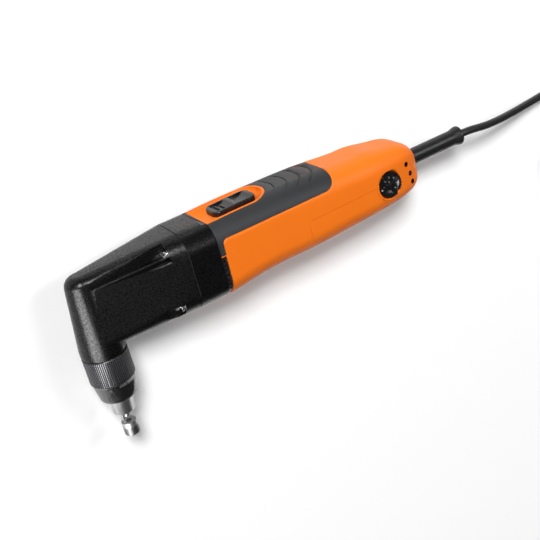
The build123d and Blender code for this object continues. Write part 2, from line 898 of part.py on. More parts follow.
# Plunger with its yoke, and the punch
orbit = eccentricity + roller_radius + yoke_clearance
window_top = gear_y + orbit + stroke
window_bottom = gear_y - orbit
yoke_half = orbit + yoke_wall
with BuildPart() as plunger:
    block(
        (die_x - yoke_thickness / 2, die_x + yoke_thickness / 2),
        (window_bottom - yoke_end_wall, window_top + yoke_end_wall), (-yoke_half, yoke_half),
    )
    block(
        (die_x - yoke_thickness, die_x + yoke_thickness), (window_bottom, window_top), (-orbit, orbit),
        mode=Mode.SUBTRACT,
    )
    neck_top = window_bottom - yoke_neck_overlap
    turned([(0, neck_top), (plunger_radius, neck_top), (plunger_radius, -plunger_end), (0, -plunger_end)])
    turned(
        [
            (0, punch_socket - plunger_end), (punch_radius, punch_socket - plunger_end),
            (punch_radius, -plunger_end), (0, -plunger_end),
        ],
        mode=Mode.SUBTRACT,
    )
save(plunger, "plunger")

with BuildPart() as punch:
    punch_top = punch_socket - plunger_end
    turned([(0, punch_top), (punch_radius, punch_top), (punch_radius, -punch_tip), (0, -punch_tip)])
save(punch, "punch")

bush_end = bush_top + bush_length
with BuildPart() as plunger_bush:
    slide = plunger_radius + running_clearance
    turned([(slide, -bush_top), (bush_radius, -bush_top), (bush_radius, -bush_end), (slide, -bush_end)])
save(plunger_bush, "plunger_bush")

wiper_top = -bush_end - wiper_gap
with BuildPart() as plunger_wiper:
    wipe = plunger_radius + running_clearance / 2
    turned(
        [
            (wipe, wiper_top), (bush_radius, wiper_top), (bush_radius, wiper_top - wiper_thickness),
            (wipe, wiper_top - wiper_thickness),
        ]
    )
save(plunger_wiper, "plunger_wiper")

# Die set: union collar, carrier and die
flange_y = -neck_end - carrier_flange_gap
shoulder_y = flange_y - carrier_flange_thickness - collar_shoulder_gap
collar_top = -boss_end - collar_top_gap
with BuildPart() as die_collar:
    bore = neck_radius + collar_bore_gap
    mouth = carrier_radius + carrier_clearance
    turned(
        [
            (bore, collar_top), (collar_radius - collar_edge, collar_top),
            (collar_radius, collar_top - collar_edge), (collar_radius, collar_edge - collar_knurl_end),
            (collar_radius - collar_edge, -collar_knurl_end),
            (collar_cone_radius, -collar_cone_end + collar_tip_chamfer),
            (collar_cone_radius - collar_tip_chamfer, -collar_cone_end), (mouth, -collar_cone_end),
            (mouth, shoulder_y), (bore, shoulder_y),
        ]
    )
    for turn in (collar_flat_turn, collar_flat_turn + 180):
        with Locations(Location((die_x, 0, axis_z), (0, turn, 0))):
            with Locations((0, -collar_flat_top - reach / 2, collar_flat + reach / 2)):
                Box(2 * reach, reach, reach, mode=Mode.SUBTRACT)
    knurl_top = collar_top - collar_lip
    with BuildSketch(Plane(origin=(die_x, knurl_top, axis_z), x_dir=(1, 0, 0), z_dir=(0, -1, 0))):
        with PolarLocations(collar_radius, collar_knurls):
            Circle(collar_knurl_depth)
    extrude(amount=collar_knurl_end - collar_edge - collar_rim + knurl_top, mode=Mode.SUBTRACT)
save(die_collar, "die_collar")

with BuildPart() as die_carrier:
    turned(
        [
            (carrier_mouth_radius, flange_y), (carrier_flange_radius, flange_y),
            (carrier_flange_radius, flange_y - carrier_flange_thickness),
            (carrier_radius, flange_y - carrier_flange_thickness),
            (carrier_radius, carrier_chamfer - carrier_end), (carrier_radius - carrier_chamfer, -carrier_end),
            (die_radius, -carrier_end), (die_radius, -carrier_mouth_end),
            (carrier_mouth_radius, -carrier_mouth_end),
        ]
    )
save(die_carrier, "die_carrier")

die_bore = punch_radius + running_clearance
post_face = punch_radius + die_post_gap
with BuildPart() as die:
    turned(
        [
            (die_bore, -die_shank_top), (die_radius, -die_shank_top), (die_radius, -carrier_end),
            (die_bore, -carrier_end),
        ]
    )
    turned(
        [
            (die_bore, -die_top), (die_radius, -die_top), (die_radius, die_edge - die_end),
            (die_radius - die_edge, -die_end), (die_bore, -die_end),
        ]
    )
    block(
        (die_x - die_post_back, die_x - post_face),
        (-die_top - die_post_overlap, die_post_overlap - carrier_end),
        (-die_post_half_width, die_post_half_width),
    )
    turned([(0, 0), (die_bore, 0), (die_bore, -2 * die_end), (0, -2 * die_end)], mode=Mode.SUBTRACT)
save(die, "die")

# Armature shaft with the pinion cut on its front end
pinion_x = gear_x - (pinion_width - gear_width) / 2
pinion_end = pinion_x + pinion_width
front_bearing_x = flange_rear - bearing_setback - bearing_width
shaft_end = rear_bearing_end + shaft_tail
with BuildPart() as armature_shaft:
    extrude(
        gear_face(
            pinion_x, 0.0, pinion_teeth, pinion_addendum, gear_addendum + root_clearance, 180 / pinion_teeth
        ),
        amount=pinion_width,
    )
    disc(pinion_end, front_bearing_x + bearing_width - pinion_end, bearing_bore)
    disc(front_bearing_x + bearing_width, rear_bearing_x - front_bearing_x - bearing_width, shaft_radius)
    disc(rear_bearing_x, shaft_end - rear_bearing_x, bearing_bore)
save(armature_shaft, "armature_shaft")

# Armature on the shaft
core_x = stator_x + armature_setback
core_end = stator_end - armature_setback
with BuildPart() as armature_core:
    disc(core_x, core_end - core_x, armature_radius, shaft_radius)
    for k in range(armature_slots):
        with BuildSketch(across(core_x)):
            with Locations(Rotation(0, 0, 360 * k / armature_slots)):
                with Locations((armature_radius + (armature_slot_mouth - armature_slot_depth) / 2, 0)):
                    Rectangle(armature_slot_depth + armature_slot_mouth, armature_slot_width)
        extrude(amount=core_end - core_x, mode=Mode.SUBTRACT)
save(armature_core, "armature_core")

with BuildPart() as armature_windings:
    disc(core_x - end_turn_length, end_turn_length, end_turn_radius, shaft_radius)
    disc(core_end, end_turn_length, end_turn_radius, shaft_radius)
    wire_width = armature_slot_width - 2 * winding_clearance
    slot_floor = armature_radius - armature_slot_depth + winding_clearance
    for k in range(armature_slots):
        with BuildSketch(across(core_x)):
            with Locations(Rotation(0, 0, 360 * k / armature_slots)):
                with Locations(((slot_floor + end_turn_radius) / 2, 0)):
                    Rectangle(end_turn_radius - slot_floor, wire_width)
        extrude(amount=core_end - core_x)
save(armature_windings, "armature_windings")

with BuildPart() as commutator:
    disc(commutator_x, commutator_length, commutator_radius, shaft_radius)
    disc(commutator_x, commutator_riser, commutator_radius + commutator_riser, shaft_radius)
    for k in range(commutator_bars):
        with BuildSketch(across(commutator_x + commutator_riser)):
            with Locations(Rotation(0, 0, 360 * k / commutator_bars)):
                with Locations((commutator_radius, 0)):
                    Rectangle(2 * commutator_slit_depth, commutator_slit)
        extrude(amount=commutator_length, mode=Mode.SUBTRACT)
save(commutator, "commutator")

blade_tip = fan_radius - fan_blade_inset
with BuildPart() as fan:
    disc(fan_x, fan_width, fan_hub_radius, shaft_radius)
    disc(fan_x + fan_width - fan_plate, fan_plate, fan_radius, shaft_radius)
    for k in range(fan_blades):
        with BuildSketch(across(fan_x)):
            with Locations(Rotation(0, 0, 360 * k / fan_blades)):
                with Locations(((fan_blade_root + blade_tip) / 2, 0)):
                    Rectangle(blade_tip - fan_blade_root, fan_blade_thickness)
        extrude(amount=fan_width)
save(fan, "fan")

save(ball_bearing(front_bearing_x, bearing_width, bearing_outer, bearing_bore), "motor_bearing_front")
save(ball_bearing(rear_bearing_x, bearing_width, bearing_outer, bearing_bore), "motor_bearing_rear")

with BuildPart() as bearing_sleeve:
    disc(rear_bearing_x, bearing_width, bearing_outer + sleeve_wall, bearing_outer)
save(bearing_sleeve, "bearing_sleeve")

# Stator, field coils and air baffle
pole_face = armature_radius + air_gap


def sector(x, outer_radius, inner_radius, half_angle, middle):
    """Part of a ring across the tool, centred on the direction middle, angles in degrees."""
    spoke = 2 * outer_radius
    low, high = radians(middle - half_angle), radians(middle + half_angle)
    mid = radians(middle)
    with BuildSketch(across(x)) as face:
        Circle(outer_radius)
        Circle(inner_radius, mode=Mode.SUBTRACT)
        with BuildLine():
            Polyline(
                (0, 0), (spoke * cos(low), spoke * sin(low)), (spoke * cos(mid), spoke * sin(mid)),
                (spoke * cos(high), spoke * sin(high)), close=True,
            )
        make_face(mode=Mode.INTERSECT)
    return face.sketch


yoke_inner = stator_radius - stator_yoke
with BuildPart() as stator_core:
    disc(stator_x, stator_length, stator_radius, yoke_inner)
    for middle in (0, 180):
        extrude(
            sector(stator_x, yoke_inner + pole_overlap, pole_face, pole_half_angle, middle),
            amount=stator_length,
        )
save(stator_core, "stator_core")

with BuildPart() as field_coils:
    for middle in (0, 180):
        extrude(
            sector(stator_x - coil_overhang, yoke_inner, pole_face + coil_clearance, coil_half_angle, middle),
            amount=stator_length + 2 * coil_overhang,
        )
    window_angle = pole_half_angle + coil_window_extra
    for middle in (0, 180):
        extrude(
            sector(stator_x - coil_clearance, stator_radius, pole_face - air_gap, window_angle, middle),
            amount=stator_length + 2 * coil_clearance, mode=Mode.SUBTRACT,
        )
save(field_coils, "field_coils")

with BuildPart() as air_baffle:
    disc(baffle_x, baffle_thickness, baffle_outer, baffle_inner)
save(air_baffle, "air_baffle")

# Brush gear, one set on each side
brush_start = commutator_radius + brush_gap
holder_end = holder_start + holder_length
holder_x = (brush_width / 2 + brush_slide + holder_wall, brush_thickness / 2 + brush_slide + holder_wall)
with BuildPart() as brushes:
    for side in (1, -1):
        span = sorted((side * brush_start, side * (brush_start + brush_length)))
        block(
            (brush_x - brush_width / 2, brush_x + brush_width / 2),
            (-brush_thickness / 2, brush_thickness / 2), span,
        )
save(brushes, "brushes")

with BuildPart() as brush_holders:
    for side in (1, -1):
        span = sorted((side * holder_start, side * holder_end))
        hollow = sorted((0, side * (holder_end - holder_wall)))
        block((brush_x - holder_x[0], brush_x + holder_x[0]), (-holder_x[1], holder_x[1]), span)
        block(
            (brush_x - holder_x[0] + holder_wall, brush_x + holder_x[0] - holder_wall),
            (holder_wall - holder_x[1], holder_x[1] - holder_wall), hollow, mode=Mode.SUBTRACT,
        )
save(brush_holders, "brush_holders")

spring_start = brush_start + brush_length + spring_strip / 2
spring_end = holder_end - holder_wall - spring_strip / 2
with BuildPart() as brush_springs:
    for side in (1, -1):
        steps = np.linspace(spring_start, spring_end, spring_folds)
        bends = [((-1) ** k * spring_half_height, side * float(z)) for k, z in enumerate(steps)]
        with BuildSketch(across(brush_x - spring_width / 2)):
            with BuildLine() as zigzag:
                Polyline(*bends)
            trace(zigzag.line, spring_strip)
        extrude(amount=spring_width)
save(brush_springs, "brush_springs")

# Controls in the rear of the housing
with BuildPart() as switch_module:
    block(
        (switch_x, switch_x + switch_length), (switch_top - switch_height, switch_top),
        (-switch_half_width, switch_half_width),
    )
save(switch_module, "switch_module")

capacitor_x = cradle_x + cradle_thickness / 2 - capacitor_length / 2
with BuildPart() as capacitor:
    disc(capacitor_x, capacitor_length, capacitor_radius, y=capacitor_y)
    fillet(capacitor.edges().filter_by(GeomType.CIRCLE), capacitor_edge)
save(capacitor, "capacitor")

cup_floor_top = dial_face - dial_thickness - dial_floor_gap
cup_floor_bottom = cup_floor_top - dial_floor_thickness
with BuildPart() as dial_potentiometer:
    with Locations((dial_x, dial_y, axis_z + cup_floor_bottom)):
        Cylinder(pot_radius, pot_height, align=(Align.CENTER, Align.CENTER, Align.MAX))
        Cylinder(
            dial_stem_radius + running_clearance, dial_stem_depth + dial_stem_gap,
            align=(Align.CENTER, Align.CENTER, Align.MAX), mode=Mode.SUBTRACT,
        )
save(dial_potentiometer, "dial_potentiometer")

with BuildPart() as speed_module:
    block(
        (module_x, module_x + module_length), (module_y - module_height / 2, module_y + module_height / 2),
        (-module_half_width, module_half_width),
    )
save(speed_module, "speed_module")

# Speed dial
with BuildPart() as speed_dial:
    with BuildSketch(Plane(origin=(dial_x, dial_y, axis_z + dial_face - dial_thickness))):
        Circle(dial_radius)
        with PolarLocations(dial_radius, dial_grips):
            Circle(dial_grip_radius, mode=Mode.SUBTRACT)
        with PolarLocations(dial_radius, 1, start_angle=dial_mark_angle):
            Circle(dial_mark_radius, mode=Mode.SUBTRACT)
    extrude(amount=dial_thickness)
    with BuildSketch(Plane(origin=(dial_x, dial_y, axis_z + dial_face - dial_pocket_depth))):
        Circle(dial_pocket_radius)
        Circle(dial_hub_radius, mode=Mode.SUBTRACT)
        for turn in (dial_rib_angle, dial_rib_angle + 90):
            Rectangle(2 * dial_radius, dial_rib_width, rotation=turn, mode=Mode.SUBTRACT)
    extrude(amount=dial_pocket_depth, mode=Mode.SUBTRACT)
    stem_bottom = cup_floor_bottom - dial_stem_depth
    with Locations((dial_x, dial_y, axis_z + stem_bottom)):
        Cylinder(
            dial_stem_radius, dial_face - dial_thickness - stem_bottom,
            align=(Align.CENTER, Align.CENTER, Align.MIN),
        )
save(speed_dial, "speed_dial")

# Housing: shell, then the ribs and seats inside it
underside_x = [s.x for s in housing_sections]
underside_y = [-s.bottom for s in housing_sections]
cover_screw_places = []
for x in (bridge_x + bridge_thickness / 2, module_rib_x + module_rib / 2):
    for side in (1, -1):
        place_y = float(np.interp(x, underside_x, underside_y))
        cover_screw_places.append((x, place_y, side * cover_screw_offset))
rib_places = [
    (baffle_x, baffle_rib),
    (stator_x + stator_rib_inset, stator_rib),
    (stator_end - stator_rib_inset - stator_rib, stator_rib),
    (brush_x - brush_rib / 2, brush_rib),
    (bridge_x, bridge_thickness),
    (cradle_x, cradle_thickness),
    (module_rib_x, module_rib),
    (flange_rear + clamp_distance, clamp_length),
]
clamp_x = flange_rear + clamp_distance
clamp_middle = clamp_x + clamp_length / 2
link_front = slider_x + slider_leg_start
hook_x = switch_x + switch_length / 2
with BuildPart() as housing_ribs:
    for x, length in rib_places:
        block((x, x + length), (-reach, reach), (-reach, reach))
    add(middle_form, mode=Mode.INTERSECT)
    disc(baffle_x, baffle_thickness, baffle_outer, mode=Mode.SUBTRACT)
    disc(baffle_x, baffle_rib, baffle_outer - baffle_lip, mode=Mode.SUBTRACT)
    disc(stator_x, stator_length, stator_radius, mode=Mode.SUBTRACT)
    for y in (1, -1):
        for z in (1, -1):
            disc(
                stator_x, stator_length, stator_vent_radius, y=y * stator_vent_offset,
                z=z * stator_vent_offset, mode=Mode.SUBTRACT,
            )
            disc(
                brush_x - brush_rib / 2, brush_rib, stator_vent_radius, y=y * brush_vent_offset,
                z=z * brush_vent_offset, mode=Mode.SUBTRACT,
            )
    disc(brush_x - brush_rib / 2, brush_rib, brush_opening, mode=Mode.SUBTRACT)
    block(
        (brush_x - holder_x[0], brush_x + holder_x[0]), (-holder_x[1], holder_x[1]),
        (-holder_end, holder_end), mode=Mode.SUBTRACT,
    )
    disc(bridge_x, bridge_thickness, bearing_outer + sleeve_wall, mode=Mode.SUBTRACT)
    for k in range(bridge_vents):
        angle = 2 * pi * (k + 0.5) / bridge_vents
        disc(
            bridge_x, bridge_thickness, bridge_vent_radius, y=bridge_vent_circle * cos(angle),
            z=bridge_vent_circle * sin(angle), mode=Mode.SUBTRACT,
        )
    for side in (1, -1):
        disc(cradle_x, cradle_thickness, wire_hole_radius, z=side * wire_hole_offset, mode=Mode.SUBTRACT)
        upright(
            clamp_middle, cord_y - clamp_height, side * clamp_screw_spacing / 2, 2 * clamp_height,
            clamp_screw_radius, mode=Mode.SUBTRACT,
        )
    add(switch_module.part, mode=Mode.SUBTRACT)
    add(capacitor.part, mode=Mode.SUBTRACT)
    add(speed_module.part, mode=Mode.SUBTRACT)
    disc(clamp_x, clamp_length, cord_radius, y=cord_y, mode=Mode.SUBTRACT)
    block(
        (clamp_x, clamp_x + clamp_length), (cord_y - clamp_split / 2, reach), (-reach, reach),
        mode=Mode.SUBTRACT,
    )
    block(
        (link_front - slider_travel, hook_x + link_hook_length + slider_travel),
        (link_y - slide_clearance, link_y + link_thickness + slide_clearance),
        (-link_half_width - slide_clearance, link_half_width + slide_clearance), mode=Mode.SUBTRACT,
    )
    block(
        (hook_x - slider_travel - slide_clearance, hook_x + link_hook_length + slide_clearance),
        (switch_top, link_y), (-link_half_width - slide_clearance, link_half_width + slide_clearance),
        mode=Mode.SUBTRACT,
    )

with BuildPart() as dial_cup:
    with Locations((dial_x, dial_y, axis_z + cup_floor_bottom)):
        Cylinder(
            dial_recess_radius + dial_cup_wall, reach, align=(Align.CENTER, Align.CENTER, Align.MIN)
        )
    add(outer_form, mode=Mode.INTERSECT)

with BuildPart() as screw_bosses:
    for y, z in screw_places:
        disc(flange_rear, screw_grip + screw_boss_extra, screw_boss_radius, y=y, z=z)
    add(middle_form, mode=Mode.INTERSECT)

with BuildPart() as recess_box:
    extrude(
        recess_face(
            recess_floor_y - recess_floor_thickness, recess_half_width + recess_wall,
            recess_length + recess_wall,
        ),
        amount=reach,
    )
    add(outer_form, mode=Mode.INTERSECT)

with BuildPart() as cover_space:
    add(outer_form)
    add(cover_form, mode=Mode.SUBTRACT)
    add(cover_region(cover_gap), mode=Mode.INTERSECT)

with BuildPart() as pad_space:
    add(outer_form)
    add(pad_form, mode=Mode.SUBTRACT)
    add(pad_region(pad_gap), mode=Mode.INTERSECT)
    extrude(
        recess_face(0, recess_half_width + recess_rim, recess_length + recess_rim_rear), amount=reach,
        mode=Mode.SUBTRACT,
    )

with BuildPart() as strip_space:
    add(outer_form)
    add(strip_inner_form, mode=Mode.SUBTRACT)
    block(
        (flange_rear, flange_rear + strip_width + strip_gap), (-reach, strip_top_y + strip_gap),
        (-reach, reach), mode=Mode.INTERSECT,
    )

leg_x = slider_x + slider_leg_start
with BuildPart() as motor_housing:
    add(outer_form)
    add(inner_form, mode=Mode.SUBTRACT)
    add(recess_box.part)
    add(housing_ribs.part)
    add(screw_bosses.part)
    add(dial_cup.part)
    extrude(recess_face(recess_floor_y, recess_half_width, recess_length), amount=reach, mode=Mode.SUBTRACT)
    block(
        (leg_x - slider_travel - slide_clearance, leg_x + slider_leg_length + slide_clearance),
        (link_y, recess_floor_y + cut_margin),
        (-slider_leg_half_width - slide_clearance, slider_leg_half_width + slide_clearance),
        mode=Mode.SUBTRACT,
    )
    for y, z in screw_places:
        disc(flange_rear, screw_grip, screw_radius, y=y, z=z, mode=Mode.SUBTRACT)
    with Locations((dial_x, dial_y, axis_z + cup_floor_top)):
        Cylinder(dial_recess_radius, reach, align=(Align.CENTER, Align.CENTER, Align.MIN), mode=Mode.SUBTRACT)
    with Locations((dial_x, dial_y, axis_z + cup_floor_top)):
        Cylinder(
            dial_stem_radius + running_clearance, 2 * dial_floor_thickness, mode=Mode.SUBTRACT,
        )
    disc(relief_seat_x, housing_rear - relief_seat_x, relief_radius, y=cord_y, mode=Mode.SUBTRACT)
    disc(relief_seat_x, relief_collar_length, relief_collar_radius, y=cord_y, mode=Mode.SUBTRACT)
    for distance, y in vent_places:
        with Locations((flange_rear + distance, y, axis_z)):
            Cylinder(vent_radius, reach, mode=Mode.SUBTRACT)
    for x, y, z in cover_screw_places:
        upright(x, y, z, cover_screw_head_height + cover_screw_length, cover_screw_radius, mode=Mode.SUBTRACT)
    add(cover_space.part, mode=Mode.SUBTRACT)
    add(pad_space.part, mode=Mode.SUBTRACT)
    add(strip_space.part, mode=Mode.SUBTRACT)
save(motor_housing, "motor_housing")
print("housing solids", len(motor_housing.part.solids()))

# Service cover and its screws
with BuildPart() as service_cover:
    add(outer_form)
    add(inner_form, mode=Mode.SUBTRACT)
    add(cover_region(0.0), mode=Mode.INTERSECT)
    for x, y, z in cover_screw_places:
        upright(
            x, y - cut_margin, z, cut_margin + cover_screw_head_height, cover_screw_head_radius + screw_fit,
            mode=Mode.SUBTRACT,
        )
        upright(x, y, z, cover_screw_length, cover_screw_radius + screw_fit, mode=Mode.SUBTRACT)
save(service_cover, "service_cover")

with BuildPart() as cover_screws:
    for x, y, z in cover_screw_places:
        upright(x, y, z, cover_screw_head_height, cover_screw_head_radius)
        upright(x, y, z, cover_screw_head_height + cover_screw_length, cover_screw_radius)
        with Locations((x, y + cross_depth / 2, axis_z + z)):
            Box(cover_screw_head_radius, cross_depth, cross_width, mode=Mode.SUBTRACT)
            Box(cross_width, cross_depth, cover_screw_head_radius, mode=Mode.SUBTRACT)
save(cover_screws, "cover_screws")

# Soft grip with four bowed grooves across its back
with BuildPart() as grip_grooves:
    for k, half in enumerate(groove_half_widths):
        x = flange_rear + groove_first + k * groove_pitch
        with BuildSketch(above(0.0)):
            with Locations((x - groove_bend, 0)):
                Circle(groove_bend + groove_width)
                Circle(groove_bend, mode=Mode.SUBTRACT)
            with Locations((x, 0)):
                Rectangle(2 * groove_bend, 2 * half, mode=Mode.INTERSECT)
        extrude(amount=reach)
    add(groove_form, mode=Mode.SUBTRACT)
with BuildPart() as grip_pad:
    add(outer_form)
    add(pad_form, mode=Mode.SUBTRACT)
    add(pad_region(0.0), mode=Mode.INTERSECT)
    extrude(
        recess_face(0, recess_half_width + recess_rim + pad_gap, recess_length + recess_rim_rear + pad_gap),
        amount=reach, mode=Mode.SUBTRACT,
    )
    add(grip_grooves.part, mode=Mode.SUBTRACT)
save(grip_pad, "grip_pad")

# Exhaust grille between the flange and the housing
with BuildPart() as exhaust_grille:
    add(strip_outer_form)
    add(strip_inner_form, mode=Mode.SUBTRACT)
    block(
        (flange_rear, flange_rear + strip_width), (-reach, strip_top_y), (-reach, reach), mode=Mode.INTERSECT,
    )
    strip_middle = flange_rear + strip_width / 2
    slot_x = (strip_middle - strip_slot_length / 2, strip_middle + strip_slot_length / 2)
    for k in range(strip_slot_count):
        y = strip_top_y - (k + 1) * strip_slot_pitch
        z = (k - (strip_slot_count - 1) / 2) * strip_slot_pitch
        half = strip_slot_width / 2
        block(slot_x, (y - half, y + half), (-reach, reach), mode=Mode.SUBTRACT)
        block(slot_x, (-reach, 0), (z - half, z + half), mode=Mode.SUBTRACT)
save(exhaust_grille, "exhaust_grille")

# Switch slider and the link to the switch
slider_end = slider_x + slider_length
slider_top = slider_base_y + slider_height
with BuildPart() as switch_slider:
    with BuildSketch(lengthwise()):
        with BuildLine():
            Polyline(
                (slider_x, slider_base_y), (slider_end, slider_base_y), (slider_end, slider_top),
                (slider_x, slider_top - slider_rise), close=True,
            )
        make_face()
    extrude(amount=slider_half_width, both=True)
    fillet(switch_slider.edges().filter_by(Axis.Y), slider_end_round)
    fillet(switch_slider.faces().sort_by(Axis.Y)[-1].edges(), slider_top_round)
    for place in thumb_hollow_places:
        crest_y = slider_top - slider_rise * (1 - place / slider_length)
        with Locations((slider_x + place, crest_y + thumb_hollow_radius - thumb_hollow_depth, axis_z)):
            Cylinder(thumb_hollow_radius, 2 * thumb_hollow_half_width, mode=Mode.SUBTRACT)
    block(
        (leg_x, leg_x + slider_leg_length), (link_y + link_thickness, slider_base_y + slider_leg_overlap),
        (-slider_leg_half_width, slider_leg_half_width),
    )
save(switch_slider, "switch_slider")

with BuildPart() as switch_link:
    link_z = (-link_half_width, link_half_width)
    block((leg_x, hook_x + link_hook_length), (link_y, link_y + link_thickness), link_z)
    block((hook_x, hook_x + link_hook_length), (link_y - link_hook_drop, link_y), link_z)
save(switch_link, "switch_link")

# Cord clamp, its screws, the strain relief and the lead inside it
clamp_top = cord_y + clamp_split / 2 + clamp_height
with BuildPart() as cord_clamp:
    block(
        (clamp_x, clamp_x + clamp_length), (cord_y + clamp_split / 2, clamp_top),
        (-clamp_half_width, clamp_half_width),
    )
    disc(clamp_x, clamp_length, cord_radius, y=cord_y, mode=Mode.SUBTRACT)
    for side in (1, -1):
        upright(
            clamp_middle, cord_y, side * clamp_screw_spacing / 2, 2 * clamp_height,
            clamp_screw_radius + screw_fit, mode=Mode.SUBTRACT,
        )
save(cord_clamp, "cord_clamp")

with BuildPart() as clamp_screws:
    for side in (1, -1):
        z = side * clamp_screw_spacing / 2
        upright(clamp_middle, cord_y - clamp_height, z, clamp_top - cord_y + clamp_height, clamp_screw_radius)
        upright(clamp_middle, clamp_top, z, clamp_screw_head_height, clamp_screw_head)
save(clamp_screws, "clamp_screws")

relief_flare_x = cord_exit_x - relief_flare_length
relief_base_end = housing_rear + relief_base_length
with BuildPart() as strain_relief:
    bore = cord_radius + cord_bore_gap
    with BuildSketch(Plane(origin=(0, cord_y, axis_z), x_dir=(1, 0, 0), z_dir=(0, 0, 1))):
        with BuildLine():
            Polyline(
                (relief_seat_x, bore), (relief_seat_x, relief_collar_radius),
                (relief_seat_x + relief_collar_length, relief_collar_radius),
                (relief_seat_x + relief_collar_length, relief_radius), (housing_rear, relief_radius),
                (housing_rear, relief_base_radius), (relief_base_end, relief_base_radius),
                (relief_base_end, relief_radius), (relief_flare_x, relief_radius),
                (cord_exit_x - relief_lip, relief_flare_radius), (cord_exit_x, relief_flare_radius),
                (cord_exit_x, bore), close=True,
            )
        make_face()
        for corner, size in (
            ((relief_base_end, relief_base_radius), relief_base_round),
            ((relief_flare_x, relief_radius), relief_flare_round),
            ((cord_exit_x - relief_lip, relief_flare_radius), relief_crest_round),
            ((cord_exit_x, relief_flare_radius), relief_lip_round),
        ):
            fillet(vertices().sort_by_distance(corner)[0], size)
    revolve(axis=Axis((0, cord_y, axis_z), (1, 0, 0)))
save(strain_relief, "strain_relief")

lead_start_x = cord_exit_x - lead_overlap
entry_x = clamp_x - entry_tail
with BuildPart() as cord_entry:
    disc(entry_x, lead_start_x - entry_x, cord_radius, y=cord_y)
save(cord_entry, "cord_entry")

# Free lead from the strain relief down to the floor and into the coil
coil_floor = cord_radius + coil_lift


def coil_path():
    """Quarter-turn points of the coil with their directions, from the lead's end to the tail."""
    stations = []
    angle, radius, height = pi / 2, coil_outer, coil_floor
    way = -1
    for layer, turns in enumerate(coil_layer_turns):
        for q in range(round(turns * 4)):
            stations.append((angle, radius, height, way * coil_pitch / (2 * pi), 0.0))
            angle -= pi / 2
            radius += way * coil_pitch / 4
        if layer == len(coil_layer_turns) - 1:
            stations.append((angle, radius, height, way * coil_pitch / (2 * pi), 0.0))
            break
        span = 2 * pi * climb_turns
        for q in range(round(climb_turns * 4)):
            s = q / (climb_turns * 4)
            swell = way * coil_pitch / 2 * (s - s * s)
            lean = way * coil_pitch / 2 * (1 - 2 * s) / span
            rise = coil_pitch * (3 * s * s - 2 * s**3)
            climb = coil_pitch * 6 * s * (1 - s) / span
            stations.append((angle, radius + swell, height + rise, lean, climb))
            angle -= pi / 2
        height += coil_pitch
        way = -way
    points, directions = [], []
    for a, r, h, dr, dh in stations:
        points.append((coil_center[0] + r * cos(a), coil_center[1] + r * sin(a), h))
        d = np.array([r * sin(a) + dr * cos(a), -r * cos(a) + dr * sin(a), dh])
        directions.append(d / np.linalg.norm(d))
    return np.array(points), np.array(directions)


coil_points, coil_directions = coil_path()
lead_points = [
    (lead_start_x, cord_y, axis_z),
    (lead_start_x + lead_straight, cord_y, axis_z),
    (316.0, -2.8, 29.6),
    (335.0, -5.4, 25.8),
    (364.0, -7.8, 18.6),
    (393.0, -9.4, 10.8),
    (422.0, -9.6, 6.0),
    tuple(coil_points[0] - coil_lead_in * coil_directions[0]),
    tuple(coil_points[0]),
]
cord_lead = cord_tube(lead_points)
save(cord_lead, "cord_lead")

with BuildPart() as cord_coil:
    with BuildLine() as coil_line:
        for p, q, u, v in zip(coil_points, coil_points[1:], coil_directions, coil_directions[1:]):
            chord, both = q - p, u + v
            spare = 2 * (1 - float(u @ v))
            lean = float(chord @ both)
            reach_in = (-lean + sqrt(lean * lean + spare * float(chord @ chord))) / spare
            middle = (p + reach_in * u + q - reach_in * v) / 2
            turn = (q - reach_in * v) - (p + reach_in * u)
            TangentArc([tuple(p), tuple(middle)], tangent=tuple(u))
            TangentArc([tuple(middle), tuple(q)], tangent=tuple(turn / np.linalg.norm(turn)))
    with BuildSketch(Plane(origin=tuple(coil_points[0]), z_dir=tuple(coil_directions[0]))):
        Circle(cord_radius)
    sweep()
save(cord_coil, "cord_coil")

trail = []
for edge in coil_line.edges():
    trail += [tuple(edge @ t) for t in np.linspace(0, 1, gap_steps, endpoint=False)]
trail = np.array(trail)
along = np.concatenate([[0], np.cumsum(np.linalg.norm(np.diff(trail, axis=0), axis=1))])
least = inf
for k in range(0, len(trail), gap_stride):
    far = np.abs(along - along[k]) > gap_span * cord_radius
    least = min(least, float(np.linalg.norm(trail[far] - trail[k], axis=1).min()))
print("coil least gap", round(least - 2 * cord_radius, 3), "wanted", coil_gap_least)
coil_length = coil_line.wire().length
coil_volume = pi * cord_radius**2 * coil_length
print("coil volume over section times length", round(cord_coil.part.volume / coil_volume, 4))

# Tail from the top of the coil down its far side to the plug
plug_y = coil_center[1] - plug_offset_y
plug_z = plug_half_thickness
exit_point = coil_points[-1]
tail_end_x = coil_center[0] - tail_end_offset
tail_points = [
    tuple(exit_point),
    tuple(exit_point + coil_lead_out * coil_directions[-1]),
    (coil_center[0] + 55.0, coil_center[1] + 49.0, 26.5),
    (coil_center[0] + 74.0, coil_center[1] + 20.0, 18.0),
    (coil_center[0] + 76.0, coil_center[1] - 15.0, 9.0),
    (coil_center[0] + 63.0, coil_center[1] - 48.0, 4.6),
    (coil_center[0] + 38.0, coil_center[1] - 73.0, 6.0),
    (coil_center[0] + 8.0, plug_y, plug_z),
    (tail_end_x, plug_y, plug_z),
]
cord_tail = cord_tube(tail_points)
save(cord_tail, "cord_tail")
total = sum(np.linalg.norm(np.diff(np.array(p), axis=0), axis=1).sum() for p in (lead_points, tail_points))
print("lead in all", round(total + coil_length + lead_start_x - entry_x), "wanted", cord_length)

